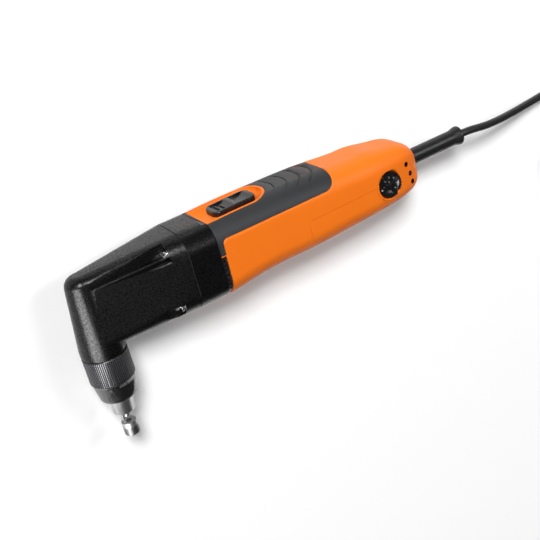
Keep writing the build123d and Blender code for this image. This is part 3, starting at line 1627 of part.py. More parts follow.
# Band round the coil on the side nearest the tool
beside = np.abs(trail[:, 1] - coil_center[1]) < tie_width / 2 + tie_margin
near = trail[beside & (trail[:, 0] < coil_center[0])]
band_low = near[:, [0, 2]].min(axis=0) - cord_radius - tie_gap
band_high = near[:, [0, 2]].max(axis=0) + cord_radius + tie_gap
band_middle = (band_low + band_high) / 2
band_size = band_high - band_low
with BuildPart() as coil_tie:
    with BuildSketch(
        Plane(origin=(band_middle[0], coil_center[1], band_middle[1]), x_dir=(1, 0, 0), z_dir=(0, -1, 0))
    ):
        RectangleRounded(band_size[0] + 2 * tie_thickness, band_size[1] + 2 * tie_thickness, cord_radius)
        RectangleRounded(band_size[0], band_size[1], cord_radius - tie_thickness, mode=Mode.SUBTRACT)
    extrude(amount=tie_width / 2, both=True)
save(coil_tie, "coil_tie")
print("band lowest and left", np.round(band_low[::-1] - tie_thickness, 2))

# Plug
plug_face_x = tail_end_x - plug_neck_length - plug_length


def plug_plane(x):
    """Plane across the plug at x, facing its pins."""
    return Plane(origin=(x, plug_y, plug_z), x_dir=(0, 1, 0), z_dir=(-1, 0, 0))


with BuildPart() as plug_body:
    with BuildSketch(plug_plane(tail_end_x)):
        Circle(plug_neck_radius)
    with BuildSketch(plug_plane(tail_end_x - plug_neck_length)):
        Circle(plug_neck_base)
    loft()
    with BuildSketch(plug_plane(tail_end_x - plug_neck_length)):
        RectangleRounded(2 * plug_half_width, 2 * plug_half_thickness, plug_corner)
    extrude(amount=plug_length)
    with BuildSketch(plug_plane(plug_face_x + pin_depth)):
        with Locations((pin_spacing / 2, 0), (-pin_spacing / 2, 0)):
            Circle(pin_root_radius)
    extrude(amount=pin_depth, mode=Mode.SUBTRACT)
save(plug_body, "plug_body")

with BuildPart() as plug_pins:
    with BuildSketch(plug_plane(plug_face_x + pin_depth)):
        with Locations((pin_spacing / 2, 0), (-pin_spacing / 2, 0)):
            Circle(pin_root_radius)
    extrude(amount=pin_depth)
    with BuildSketch(plug_plane(plug_face_x)):
        with Locations((pin_spacing / 2, 0), (-pin_spacing / 2, 0)):
            Circle(pin_radius)
    extrude(amount=pin_length)
    fillet(plug_pins.edges().group_by(Axis.X)[0], pin_tip)
save(plug_pins, "plug_pins")
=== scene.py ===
"""Looks of a hand-held electric nibbler: finishes, marks, lead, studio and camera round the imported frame."""

import json
import logging
import math
from dataclasses import dataclass, field
from enum import Enum

import bmesh
import bpy
import numpy as np
from mathutils import Matrix, Vector

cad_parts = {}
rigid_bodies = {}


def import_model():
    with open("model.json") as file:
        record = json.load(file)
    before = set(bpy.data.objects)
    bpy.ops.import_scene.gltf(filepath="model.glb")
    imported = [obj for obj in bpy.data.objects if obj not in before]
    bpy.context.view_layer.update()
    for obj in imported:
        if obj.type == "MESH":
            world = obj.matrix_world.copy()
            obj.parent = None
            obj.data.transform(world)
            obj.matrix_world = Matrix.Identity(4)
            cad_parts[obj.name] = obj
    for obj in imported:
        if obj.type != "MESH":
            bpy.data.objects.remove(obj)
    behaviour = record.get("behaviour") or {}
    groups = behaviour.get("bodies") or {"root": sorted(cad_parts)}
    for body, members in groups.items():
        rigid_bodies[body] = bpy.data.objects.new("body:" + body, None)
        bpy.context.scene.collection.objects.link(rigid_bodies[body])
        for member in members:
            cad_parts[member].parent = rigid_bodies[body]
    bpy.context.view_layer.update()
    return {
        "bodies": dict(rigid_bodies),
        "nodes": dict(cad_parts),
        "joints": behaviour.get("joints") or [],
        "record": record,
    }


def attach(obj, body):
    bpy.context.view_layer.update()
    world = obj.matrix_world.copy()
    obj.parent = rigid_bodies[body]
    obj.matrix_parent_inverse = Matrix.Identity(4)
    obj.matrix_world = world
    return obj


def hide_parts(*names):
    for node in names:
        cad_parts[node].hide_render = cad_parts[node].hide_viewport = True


log = logging.getLogger("nibbler")
MM = 0.001
WELD = 1e-6
SHARP = math.radians(32)

# A Mix node's colour sockets go by number, because its other types share their names
MIX_FIRST = 6
MIX_SECOND = 7
MIX_RESULT = 2

Colour = tuple[float, float, float]
Place = tuple[float, float, float]


class Grain(Enum):
    """How a surface is grained."""

    PEBBLE = "pebble"
    MOULDED = "moulded"
    BRUSHED = "brushed"
    STREAKED = "streaked"
    KNURLED = "knurled"


@dataclass(frozen=True)
class Band:
    """A tone that a finish takes on below a level of Y.

    Args:
        start: Y in millimetres where the band begins to show.
        end: Y in millimetres where it shows in full.
        colour: linear base colour of the band.
        roughness: roughness of the band.
        shade: how much its colour varies over the surface, from 0 to 1.
        gloss: how much its roughness varies over the surface.
    """

    start: float
    end: float
    colour: Colour
    roughness: float
    shade: float = 0.08
    gloss: float = 0.02


@dataclass(frozen=True)
class Spot:
    """A round hole through a surface, along Z, whose wall gets painted shade.

    Args:
        x: its middle along X in millimetres.
        y: its middle along Y in millimetres.
        radius: radius in millimetres within which shade is painted on the surface.
    """

    x: float
    y: float
    radius: float


@dataclass(frozen=True)
class Finish:
    """One surface finish.

    Args:
        name: material name.
        colour: linear base colour.
        roughness: middle roughness of the surface.
        metallic: 1 for bare metal, 0 for paint, plastic and rubber.
        grain: kind of fine relief.
        grain_size: size of one grain, in millimetres.
        depth: depth of the relief, in millimetres.
        shade: how much the colour varies over the surface, from 0 to 1; on the streaked grain the variation is
            painted reflection streaks, and on the knurl it is painted shade and highlight.
        gloss: how much the roughness varies over the surface.
        specular: specular level of the shader.
        coat: middle weight of a clear coat that comes and goes from grain to grain.
        bands: tones that follow each other down the die axis.
        spots: holes whose walls get painted shade.
    """

    name: str
    colour: Colour
    roughness: float
    metallic: float = 0.0
    grain: Grain = Grain.MOULDED
    grain_size: float = 0.6
    depth: float = 0.02
    shade: float = 0.06
    gloss: float = 0.06
    specular: float = 0.5
    coat: float = 0.0
    bands: tuple[Band, ...] = ()
    spots: tuple[Spot, ...] = ()


ORANGE = Finish(
    "orange_housing", (0.86, 0.178, 0.009), 0.46, grain_size=0.5, depth=0.012, shade=0.03, specular=0.25,
    # The spots paint shade onto the walls of the three vent holes.
    spots=(Spot(206.6, 7.6, 2.34), Spot(209.8, -2.2, 2.34), Spot(211.2, -10.6, 2.34)),
)
POWDER = Finish(
    "powder_black", (0.0025, 0.0025, 0.0029), 0.3, grain=Grain.PEBBLE, grain_size=1.3, depth=0.13, shade=0.2,
    gloss=0.08, specular=0.13, coat=0.28,
)
GRIP = Finish(
    "grip_slate", (0.019, 0.021, 0.023), 0.52, grain=Grain.PEBBLE, grain_size=0.45, depth=0.03, shade=0.16,
    specular=0.4,
)
SLIDER = Finish("slider_black", (0.006, 0.006, 0.0065), 0.27, grain_size=0.4, depth=0.008, shade=0.15)
DIAL = Finish("dial_black", (0.005, 0.005, 0.0055), 0.3, grain_size=0.4, depth=0.01, shade=0.15)
BLACK = Finish("black_plastic", (0.01, 0.01, 0.011), 0.36, grain_size=0.4, depth=0.01, shade=0.15)
SLEEVE = Finish("sleeve_rubber", (0.007, 0.007, 0.0075), 0.38, grain_size=0.5, depth=0.02, shade=0.15)
CORD = Finish("cord_rubber", (0.01, 0.01, 0.0105), 0.4, grain_size=0.5, depth=0.02, shade=0.15)
PAINT = Finish("mark_paint", (0.33, 0.33, 0.32), 0.5, grain_size=0.3, depth=0.005, shade=0.08)
BRIGHT = Finish(
    "bright_steel", (0.86, 0.86, 0.86), 0.24, metallic=1.0, grain=Grain.BRUSHED, grain_size=0.4, depth=0.006,
    shade=0.08,
)
STEEL = Finish(
    "ground_steel", (0.6, 0.6, 0.61), 0.3, metallic=1.0, grain=Grain.BRUSHED, grain_size=0.35, depth=0.01,
    shade=0.12,
)
DIE = Finish(
    "die_steel", (0.46, 0.46, 0.465), 0.42, metallic=1.0, grain=Grain.BRUSHED, grain_size=0.35, depth=0.006,
    shade=0.12, bands=(Band(-113.0, -113.6, (0.16, 0.16, 0.165), 0.42),),
)
# Its strong colour streaks along the die axis are painted reflections.
SATIN = Finish(
    "satin_steel", (0.6, 0.6, 0.61), 0.34, metallic=1.0, grain=Grain.STREAKED, grain_size=0.35, depth=0.006,
    shade=0.6,
)
# Its strong shade over the knurl paints shade into the valleys and highlight onto the points.
COLLAR = Finish(
    "collar_steel", (0.075, 0.075, 0.078), 0.34, metallic=1.0, grain=Grain.KNURLED, grain_size=1.7,
    depth=0.12, shade=0.85,
    bands=(
        # The first band, brighter, is a painted highlight on the rim between the knurl and the cone.
        Band(-63.6, -63.9, (0.2, 0.2, 0.205), 0.24),
        Band(-65.5, -65.8, (0.15, 0.15, 0.152), 0.26),
    ),
)
BRONZE = Finish(
    "bronze", (0.55, 0.36, 0.14), 0.35, metallic=1.0, grain=Grain.BRUSHED, grain_size=0.4, depth=0.01,
    shade=0.1,
)
COPPER = Finish(
    "copper", (0.6, 0.24, 0.1), 0.4, metallic=1.0, grain=Grain.BRUSHED, grain_size=0.5, depth=0.02,
    shade=0.15,
)
SHEETS = Finish(
    "sheet_stack", (0.25, 0.25, 0.26), 0.5, metallic=1.0, grain=Grain.BRUSHED, grain_size=0.5, depth=0.02,
    shade=0.15,
)
FELT = Finish("felt", (0.42, 0.4, 0.34), 0.9, grain=Grain.PEBBLE, grain_size=0.3, depth=0.05, shade=0.2)
YELLOW = Finish("capacitor_film", (0.55, 0.36, 0.03), 0.3, grain_size=0.8, depth=0.01)

SLOT_FINISH: dict[str, Finish] = {
    "head_black": POWDER,
    "gasket_black": CORD,
    "bright_steel": BRIGHT,
    "hard_steel": STEEL,
    "dark_steel": COLLAR,
    "satin_steel": SATIN,
    "bronze": BRONZE,
    "felt": FELT,
    "lamination": SHEETS,
    "copper": COPPER,
    "carbon": CORD,
    "orange_plastic": ORANGE,
    "grip_rubber": GRIP,
    "black_plastic": BLACK,
    "capacitor_yellow": YELLOW,
    "cord_black": CORD,
    "nickel": BRIGHT,
}


class MaterialKit:
    """Makes one material per finish from shared grain, band and spot groups.

    Scales are per metre, and the knurl's middle and end are in millimetres.
    """

    slow_scale: float = 38.0
    slow_detail: float = 4.0
    streak_scale: float = 260.0
    fine_detail: float = 2.0
    along_axis: float = 0.12
    along_streak: float = 0.03
    bump_strength: float = 0.6
    knurl_middle: Place = (-95.0, 0.0, 31.5)
    knurl_count: int = 72
    knurl_row_share: float = 0.3
    knurl_stop: float = -63.6
    # Painted shade on the wall of a hole.
    hole_dark: Colour = (0.02, 0.006, 0.003)
    noise_span: tuple[float, float] = (0.32, 0.68)

    def __init__(self) -> None:
        """Builds the shared groups."""
        self._made: dict[str, bpy.types.Material] = {}
        self._grain = {kind: self._grain_group(kind) for kind in Grain}
        self._band = self._band_group()
        self._spot = self._spot_group()

    def _grain_group(self, kind: Grain) -> bpy.types.ShaderNodeTree:
        """Relief and slow variation of one kind of surface. On the streaked grain the variation paints
        reflection streaks, and on the knurl it paints shade in the valleys and highlight on the points.

        Args:
            kind: the grain to build.

        Returns:
            A node group with the outputs Vary, Fine and Normal.
        """
        tree = bpy.data.node_groups.new(f"grain_{kind.value}", "ShaderNodeTree")
        for name in ("Scale", "Depth"):
            tree.interface.new_socket(name, in_out="INPUT", socket_type="NodeSocketFloat")
        tree.interface.new_socket("Vary", in_out="OUTPUT", socket_type="NodeSocketFloat")
        tree.interface.new_socket("Fine", in_out="OUTPUT", socket_type="NodeSocketFloat")
        tree.interface.new_socket("Normal", in_out="OUTPUT", socket_type="NodeSocketVector")
        nodes, links = tree.nodes, tree.links
        source = nodes.new("NodeGroupInput")
        result = nodes.new("NodeGroupOutput")
        place = nodes.new("ShaderNodeTexCoord")
        stretch = nodes.new("ShaderNodeMapping")
        along = {Grain.BRUSHED: self.along_axis, Grain.STREAKED: self.along_streak}.get(kind, 1.0)
        stretch.inputs["Scale"].default_value = (1, along, 1)
        slow = nodes.new("ShaderNodeTexNoise")
        # For the streaked grain this noise paints reflection streaks into the colour.
        slow.inputs["Scale"].default_value = self.streak_scale if kind is Grain.STREAKED else self.slow_scale
        slow.inputs["Detail"].default_value = self.slow_detail
        fine = nodes.new("ShaderNodeTexNoise")
        fine.inputs["Detail"].default_value = self.fine_detail
        links.new(place.outputs["Object"], stretch.inputs["Vector"])
        links.new(stretch.outputs["Vector"], slow.inputs["Vector"])
        links.new(stretch.outputs["Vector"], fine.inputs["Vector"])
        links.new(source.outputs["Scale"], fine.inputs["Scale"])
        height = fine.outputs["Fac"]
        if kind is Grain.PEBBLE:
            cells = nodes.new("ShaderNodeTexVoronoi")
            cells.feature = "SMOOTH_F1"
            links.new(place.outputs["Object"], cells.inputs["Vector"])
            links.new(source.outputs["Scale"], cells.inputs["Scale"])
            blend = nodes.new("ShaderNodeMath")
            blend.operation = "SUBTRACT"
            links.new(fine.outputs["Fac"], blend.inputs[0])
            links.new(cells.outputs["Distance"], blend.inputs[1])
            height = blend.outputs["Value"]
        if kind is Grain.KNURLED:
            height = self._knurl(tree, place, source)
        bump = nodes.new("ShaderNodeBump")
        bump.inputs["Strength"].default_value = self.bump_strength
        links.new(source.outputs["Depth"], bump.inputs["Distance"])
        links.new(height, bump.inputs["Height"])
        # For the knurl the colour follows the relief: painted shade in the valleys, painted highlight on the
        # points.
        links.new(height if kind is Grain.KNURLED else slow.outputs["Fac"], result.inputs["Vary"])
        links.new(fine.outputs["Fac"], result.inputs["Fine"])
        links.new(bump.outputs["Normal"], result.inputs["Normal"])
        return tree

    def _knurl(
        self, tree: bpy.types.ShaderNodeTree, place: bpy.types.Node, source: bpy.types.Node
    ) -> bpy.types.NodeSocket:
        """Rows of knurl points, down to the knurl's end.

        The height is the product of a wave round the die axis and a weaker one along it. It shapes the bump,
        and it also sets the colour, as painted shade in the valleys and painted highlight on the points.

        Args:
            tree: the group that takes the nodes.
            place: its texture coordinates.
            source: its inputs, of which Scale gives the rows per metre.

        Returns:
            The height, from 0 in the valleys to 1 on the points.
        """
        nodes, links = tree.nodes, tree.links

        def sum_up(
            operation: str, first: bpy.types.NodeSocket, second: bpy.types.NodeSocket | float
        ) -> bpy.types.NodeSocket:
            """Result of one sum on a socket and a socket or number.

            Args:
                operation: the sum's kind.
                first: its first value.
                second: its second value.

            Returns:
                The socket that holds the result.
            """
            node = nodes.new("ShaderNodeMath")
            node.operation = operation
            links.new(first, node.inputs[0])
            if isinstance(second, bpy.types.NodeSocket):
                links.new(second, node.inputs[1])
            else:
                node.inputs[1].default_value = second
            return node.outputs["Value"]

        centre = nodes.new("ShaderNodeMapping")
        centre.inputs["Location"].default_value = [-v * MM for v in self.knurl_middle]
        links.new(place.outputs["Object"], centre.inputs["Vector"])
        split = nodes.new("ShaderNodeSeparateXYZ")
        links.new(centre.outputs["Vector"], split.inputs["Vector"])
        turn = sum_up("ARCTAN2", split.outputs["Z"], split.outputs["X"])
        round_wave = sum_up("COSINE", sum_up("MULTIPLY", turn, float(self.knurl_count)), 0.0)
        rows = sum_up("MULTIPLY", split.outputs["Y"], source.outputs["Scale"])
        row_wave = sum_up("COSINE", sum_up("MULTIPLY", rows, 2 * math.pi), 0.0)
        ridge = sum_up("ADD", sum_up("MULTIPLY", round_wave, -0.5), 0.5)
        share = self.knurl_row_share
        row = sum_up("ADD", sum_up("MULTIPLY", row_wave, share), 1 - share)
        above_end = sum_up("GREATER_THAN", split.outputs["Y"], self.knurl_stop * MM)
        return sum_up("MULTIPLY", sum_up("MULTIPLY", ridge, row), above_end)

    @staticmethod
    def _spot_group() -> bpy.types.ShaderNodeTree:
        """Mask that is 1 within a radius of a line along Z, where a hole's painted shade goes.

        Returns:
            A node group with the inputs Middle and Radius and the output Mask.
        """
        tree = bpy.data.node_groups.new("hole_shade_mask", "ShaderNodeTree")
        tree.interface.new_socket("Middle", in_out="INPUT", socket_type="NodeSocketVector")
        tree.interface.new_socket("Radius", in_out="INPUT", socket_type="NodeSocketFloat")
        tree.interface.new_socket("Mask", in_out="OUTPUT", socket_type="NodeSocketFloat")
        nodes, links = tree.nodes, tree.links
        source = nodes.new("NodeGroupInput")
        result = nodes.new("NodeGroupOutput")
        place = nodes.new("ShaderNodeTexCoord")
        flat = nodes.new("ShaderNodeVectorMath")
        flat.operation = "MULTIPLY"
        flat.inputs[1].default_value = (1, 1, 0)
        away = nodes.new("ShaderNodeVectorMath")
        away.operation = "DISTANCE"
        inside = nodes.new("ShaderNodeMath")
        inside.operation = "LESS_THAN"
        links.new(place.outputs["Object"], flat.inputs[0])
        links.new(flat.outputs["Vector"], away.inputs[0])
        links.new(source.outputs["Middle"], away.inputs[1])
        links.new(away.outputs["Value"], inside.inputs[0])
        links.new(source.outputs["Radius"], inside.inputs[1])
        links.new(inside.outputs["Value"], result.inputs["Mask"])
        return tree

    @staticmethod
    def _band_group() -> bpy.types.ShaderNodeTree:
        """Mask that rises from 0 to 1 between two levels of Y.

        Returns:
            A node group with the inputs Start and End and the output Mask.
        """
        tree = bpy.data.node_groups.new("level_mask", "ShaderNodeTree")
        for name in ("Start", "End"):
            tree.interface.new_socket(name, in_out="INPUT", socket_type="NodeSocketFloat")
        tree.interface.new_socket("Mask", in_out="OUTPUT", socket_type="NodeSocketFloat")
        nodes, links = tree.nodes, tree.links
        source = nodes.new("NodeGroupInput")
        result = nodes.new("NodeGroupOutput")
        place = nodes.new("ShaderNodeTexCoord")
        split = nodes.new("ShaderNodeSeparateXYZ")
        level = nodes.new("ShaderNodeMapRange")
        links.new(place.outputs["Object"], split.inputs["Vector"])
        links.new(split.outputs["Y"], level.inputs["Value"])
        links.new(source.outputs["Start"], level.inputs["From Min"])
        links.new(source.outputs["End"], level.inputs["From Max"])
        links.new(level.outputs["Result"], result.inputs["Mask"])
        return tree

    @staticmethod
    def _mix_colour(
        material: bpy.types.Material, mask: bpy.types.NodeSocket, first: bpy.types.NodeSocket | Colour,
        second: bpy.types.NodeSocket | Colour,
    ) -> bpy.types.NodeSocket:
        """Colour that a mask leads from one to another.

        Args:
            material: where the node goes.
            mask: 0 for the first colour, 1 for the second.
            first: a colour or its socket.
            second: a colour or its socket.

        Returns:
            The mixed colour's socket.
        """
        links = material.node_tree.links
        mix = material.node_tree.nodes.new("ShaderNodeMix")
        mix.data_type = "RGBA"
        links.new(mask, mix.inputs["Factor"])
        for colour, socket in ((first, mix.inputs[MIX_FIRST]), (second, mix.inputs[MIX_SECOND])):
            if isinstance(colour, bpy.types.NodeSocket):
                links.new(colour, socket)
            else:
                socket.default_value = (*colour, 1)
        return mix.outputs[MIX_RESULT]

    def _tone(
        self, material: bpy.types.Material, grain: bpy.types.Node, vary: str, look: Finish | Band
    ) -> tuple[bpy.types.NodeSocket, bpy.types.NodeSocket]:
        """Colour and roughness that vary with the grain.

        Args:
            material: where the nodes go.
            grain: the grain group's node.
            vary: the group's output that the colour varies with.
            look: gives the middle colour and roughness, and how far each varies.

        Returns:
            The colour socket and the roughness socket.
        """
        dark = tuple(c * (1 - look.shade) for c in look.colour)
        light = tuple(min(1.0, c * (1 + look.shade)) for c in look.colour)
        rough = material.node_tree.nodes.new("ShaderNodeMapRange")
        rough.inputs["To Min"].default_value = look.roughness - look.gloss
        rough.inputs["To Max"].default_value = look.roughness + look.gloss
        material.node_tree.links.new(grain.outputs["Fine"], rough.inputs["Value"])
        return self._mix_colour(material, grain.outputs[vary], dark, light), rough.outputs["Result"]

    def _with_band(
        self, material: bpy.types.Material, grain: bpy.types.Node, band: Band, colour: bpy.types.NodeSocket,
        rough: bpy.types.NodeSocket,
    ) -> tuple[bpy.types.NodeSocket, bpy.types.NodeSocket]:
        """Colour and roughness with a band's own below its level.

        Args:
            material: where the nodes go.
            grain: the grain group's node.
            band: the band.
            colour: colour above it.
            rough: roughness above it.

        Returns:
            The colour socket and the roughness socket.
        """
        nodes, links = material.node_tree.nodes, material.node_tree.links
        level = nodes.new("ShaderNodeGroup")
        level.node_tree = self._band
        level.inputs["Start"].default_value = band.start * MM
        level.inputs["End"].default_value = band.end * MM
        band_colour, band_rough = self._tone(material, grain, "Fine", band)
        polish = nodes.new("ShaderNodeMix")
        links.new(level.outputs["Mask"], polish.inputs["Factor"])
        links.new(rough, polish.inputs["A"])
        links.new(band_rough, polish.inputs["B"])
        mixed = self._mix_colour(material, level.outputs["Mask"], colour, band_colour)
        return mixed, polish.outputs["Result"]

    def _with_spot(
        self, material: bpy.types.Material, spot: Spot, colour: bpy.types.NodeSocket
    ) -> bpy.types.NodeSocket:
        """Colour with painted shade on a hole's wall.

        Args:
            material: where the nodes go.
            spot: the hole.
            colour: colour round it.

        Returns:
            The colour socket.
        """
        hole = material.node_tree.nodes.new("ShaderNodeGroup")
        hole.node_tree = self._spot
        hole.inputs["Middle"].default_value = (spot.x * MM, spot.y * MM, 0)
        hole.inputs["Radius"].default_value = spot.radius * MM
        return self._mix_colour(material, hole.outputs["Mask"], colour, self.hole_dark)

    def _coat_weight(
        self, material: bpy.types.Material, grain: bpy.types.Node, weight: float
    ) -> bpy.types.NodeSocket:
        """Weight of a clear coat that goes from none to twice its middle over the grains.

        Args:
            material: where the node goes.
            grain: the grain group's node.
            weight: the middle weight.

        Returns:
            The weight's socket.
        """
        spark = material.node_tree.nodes.new("ShaderNodeMapRange")
        spark.inputs["From Min"].default_value, spark.inputs["From Max"].default_value = self.noise_span
        spark.inputs["To Max"].default_value = 2 * weight
        material.node_tree.links.new(grain.outputs["Fine"], spark.inputs["Value"])
        return spark.outputs["Result"]

    def make(self, finish: Finish) -> bpy.types.Material:
        """Material of a finish, made once.

        Args:
            finish: the finish wanted.

        Returns:
            The material.
        """
        if finish.name in self._made:
            return self._made[finish.name]
        material = bpy.data.materials.new(finish.name)
        material.use_nodes = True
        nodes, links = material.node_tree.nodes, material.node_tree.links
        shader = nodes["Principled BSDF"]
        shader.inputs["Metallic"].default_value = finish.metallic
        shader.inputs["Specular IOR Level"].default_value = finish.specular
        grain = nodes.new("ShaderNodeGroup")
        grain.node_tree = self._grain[finish.grain]
        grain.inputs["Scale"].default_value = 1.0 / (finish.grain_size * MM)
        grain.inputs["Depth"].default_value = finish.depth * MM
        colour, rough = self._tone(material, grain, "Vary", finish)
        for band in finish.bands:
            colour, rough = self._with_band(material, grain, band, colour, rough)
        for spot in finish.spots:
            colour = self._with_spot(material, spot, colour)
        if finish.coat:
            shader.inputs["Coat Roughness"].default_value = finish.roughness
            links.new(self._coat_weight(material, grain, finish.coat), shader.inputs["Coat Weight"])
        links.new(colour, shader.inputs["Base Color"])
        links.new(rough, shader.inputs["Roughness"])
        links.new(grain.outputs["Normal"], shader.inputs["Normal"])
        self._made[finish.name] = material
        return material


def grid_mesh(name: str, points: np.ndarray) -> bpy.types.Mesh:
    """Mesh of a surface whose second parameter runs once round it.

    Args:
        name: mesh name.
        points: places in metres, as rows, columns and three coordinates.

    Returns:
        The mesh, its seam and poles closed and its faces outwards.
    """
    rows, columns = points.shape[:2]
    row, column = np.meshgrid(np.arange(rows - 1), np.arange(columns), indexing="ij")
    beside = (column + 1) % columns
    this, following = row * columns, (row + 1) * columns
    quads = np.stack([this + column, this + beside, following + beside, following + column], axis=-1)
    mesh = bpy.data.meshes.new(name)
    mesh.from_pydata(points.reshape(-1, 3).tolist(), [], quads.reshape(-1, 4).tolist())
    work = bmesh.new()
    work.from_mesh(mesh)
    bmesh.ops.remove_doubles(work, verts=work.verts, dist=WELD)
    bmesh.ops.recalc_face_normals(work, faces=work.faces)
    work.to_mesh(mesh)
    work.free()
    mesh.shade_smooth()
    return mesh


@dataclass
class SubAssembly:
    """What the sub-assemblies share: dressing CAD nodes and adding new pieces.

    Args:
        frame: the loaded frame.
        kit: where materials come from.
        shown: the piece that shows for each dressed node.
        edge_segments: facets across a rounded edge.
    """

    frame: dict
    kit: MaterialKit
    shown: dict[str, bpy.types.Object] = field(default_factory=dict)
    edge_segments: int = 2

    def slot_of(self, name: str) -> str:
        """Material slot of a CAD node in the record.

        Args:
            name: the node.

        Returns:
            The slot's name.
        """
        return next(s["material_slot"] for s in self.frame["record"]["subparts"] if s["node"] == name)

    def body_of(self, name: str) -> str:
        """Body that a CAD node rides on.

        Args:
            name: the node.

        Returns:
            The body's name.
        """
        bodies = self.frame["record"]["behaviour"]["bodies"]
        return next(body for body, names in bodies.items() if name in names)

    def paint(self, piece: bpy.types.Object, finish: Finish) -> None:
        """Gives a piece one finish and reports it.

        Args:
            piece: the piece.
            finish: its finish.
        """
        piece.data.materials.clear()
        piece.data.materials.append(self.kit.make(finish))
        log.info("%s: %s", piece.name, finish.name)

    def plain(self, *names: str) -> None:
        """Dresses CAD nodes in their slot's finish as they are.

        Args:
            names: the nodes.
        """
        for name in names:
            piece = self.frame["nodes"][name]
            self.paint(piece, SLOT_FINISH[self.slot_of(name)])
            self.shown[name] = piece

    def rounded(
        self, name: str, width: float, finish: Finish | None = None,
        spare: tuple[float, float] | None = None, flat: float = 0.4,
    ) -> bpy.types.Object:
        """Merged, smooth copy of a CAD node with rounded edges.

        Args:
            name: CAD node.
            width: bevel width in millimetres.
            finish: its finish, or its slot's where None.
            spare: X and Y in millimetres; edges before that X and above that Y stay sharp.
            flat: faces that meet within this angle, in degrees, become one.

        Returns:
            The piece that stands for the node.
        """
        mesh = self.frame["nodes"][name].data.copy()
        work = bmesh.new()
        work.from_mesh(mesh)
        bmesh.ops.remove_doubles(work, verts=work.verts, dist=WELD)
        bmesh.ops.dissolve_limit(
            work, angle_limit=math.radians(flat), verts=work.verts, edges=work.edges, delimit={"MATERIAL"}
        )
        work.to_mesh(mesh)
        work.free()
        piece = bpy.data.objects.new(f"{name}_skin", mesh)
        bpy.context.collection.objects.link(piece)
        mesh.shade_smooth()
        mesh.set_sharp_from_angle(angle=SHARP)
        self._weigh_edges(mesh, spare)
        bevel = piece.modifiers.new("edges", "BEVEL")
        bevel.width = width * MM
        bevel.segments = self.edge_segments
        bevel.limit_method = "WEIGHT"
        bevel.harden_normals = True
        bevel.use_clamp_overlap = True
        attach(piece, self.body_of(name))
        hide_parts(name)
        self.paint(piece, finish or SLOT_FINISH[self.slot_of(name)])
        self.shown[name] = piece
        return piece

    @staticmethod
    def _weigh_edges(mesh: bpy.types.Mesh, spare: tuple[float, float] | None) -> None:
        """Marks the sharp edges for the bevel.

        Args:
            mesh: the mesh, with its sharp edges set.
            spare: X and Y in millimetres; edges before that X and above that Y are left out.
        """
        count = len(mesh.edges)
        sharp = np.zeros(count, dtype=bool)
        mesh.attributes["sharp_edge"].data.foreach_get("value", sharp)
        ends = np.empty(2 * count, dtype=np.int32)
        mesh.edges.foreach_get("vertices", ends)
        place = np.empty(3 * len(mesh.vertices), dtype=np.float32)
        mesh.vertices.foreach_get("co", place)
        middle = place.reshape(-1, 3)[ends.reshape(-1, 2)].mean(axis=1)
        if spare:
            sharp &= (middle[:, 0] > spare[0] * MM) | (middle[:, 1] < spare[1] * MM)
        weights = mesh.attributes.new("bevel_weight_edge", "FLOAT", "EDGE")
        weights.data.foreach_set("value", sharp.astype(np.float32))

    def add(self, mesh: bpy.types.Mesh, body: str, slot: str, finish: Finish) -> bpy.types.Object:
        """Adds a new piece.

        Args:
            mesh: its mesh, in place.
            body: the body it rides on.
            slot: the record's material slot; not used.
            finish: its finish.

        Returns:
            The piece.
        """
        piece = bpy.data.objects.new(mesh.name, mesh)
        bpy.context.collection.objects.link(piece)
        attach(piece, body)
        self.paint(piece, finish)
        return piece


@dataclass
class GearHead(SubAssembly):
    """Gear casing, its flange and screws, and the gears and plunger inside."""

    casing_edge: float = 0.35
    flange_edge: float = 0.3
    screw_edge: float = 0.3
    notch: tuple[float, float] = (-26.0, 15.0)
    casing_flat: float = 2.0

    def build(self) -> None:
        """Dresses the head."""
        self.rounded("gear_head", self.casing_edge, spare=self.notch, flat=self.casing_flat)
        self.rounded("bearing_flange", self.flange_edge)
        self.rounded("head_screws", self.screw_edge)
        self.plain("head_gasket", "gear_needle_bearing", "gear_bearing_front", "eccentric_shaft")
        self.plain("drive_gear", "eccentric_roller", "roller_clip")
        self.plain("plunger", "plunger_bush", "plunger_wiper")


@dataclass
class CuttingEnd(SubAssembly):
    """Union collar, die carrier, die and punch."""

    collar_edge: float = 0.25
    carrier_edge: float = 0.3
    die_edge: float = 0.25
    punch_edge: float = 0.1

    def build(self) -> None:
        """Dresses the cutting end."""
        self.rounded("die_collar", self.collar_edge)
        self.rounded("die_carrier", self.carrier_edge)
        self.rounded("die", self.die_edge, DIE)
        self.rounded("punch", self.punch_edge)


@dataclass
class MotorBody(SubAssembly):
    """Orange housing with its cover and grille, and the motor inside."""

    housing_edge: float = 0.4
    cover_edge: float = 0.25
    grille_edge: float = 0.15

    def build(self) -> None:
        """Dresses the body."""
        self.rounded("motor_housing", self.housing_edge)
        self.rounded("service_cover", self.cover_edge)
        self.rounded("exhaust_grille", self.grille_edge)
        self.plain("armature_shaft", "armature_core", "armature_windings", "commutator", "fan")
        self.plain("motor_bearing_front", "motor_bearing_rear", "bearing_sleeve", "stator_core")
        self.plain("field_coils", "air_baffle", "brushes", "brush_holders", "brush_springs")
        self.plain("capacitor", "cover_screws")


@dataclass
class SoftGrip(SubAssembly):
    """Soft grip over the back of the housing."""

    pad_edge: float = 0.5

    def build(self) -> None:
        """Dresses the grip."""
        self.rounded("grip_pad", self.pad_edge)


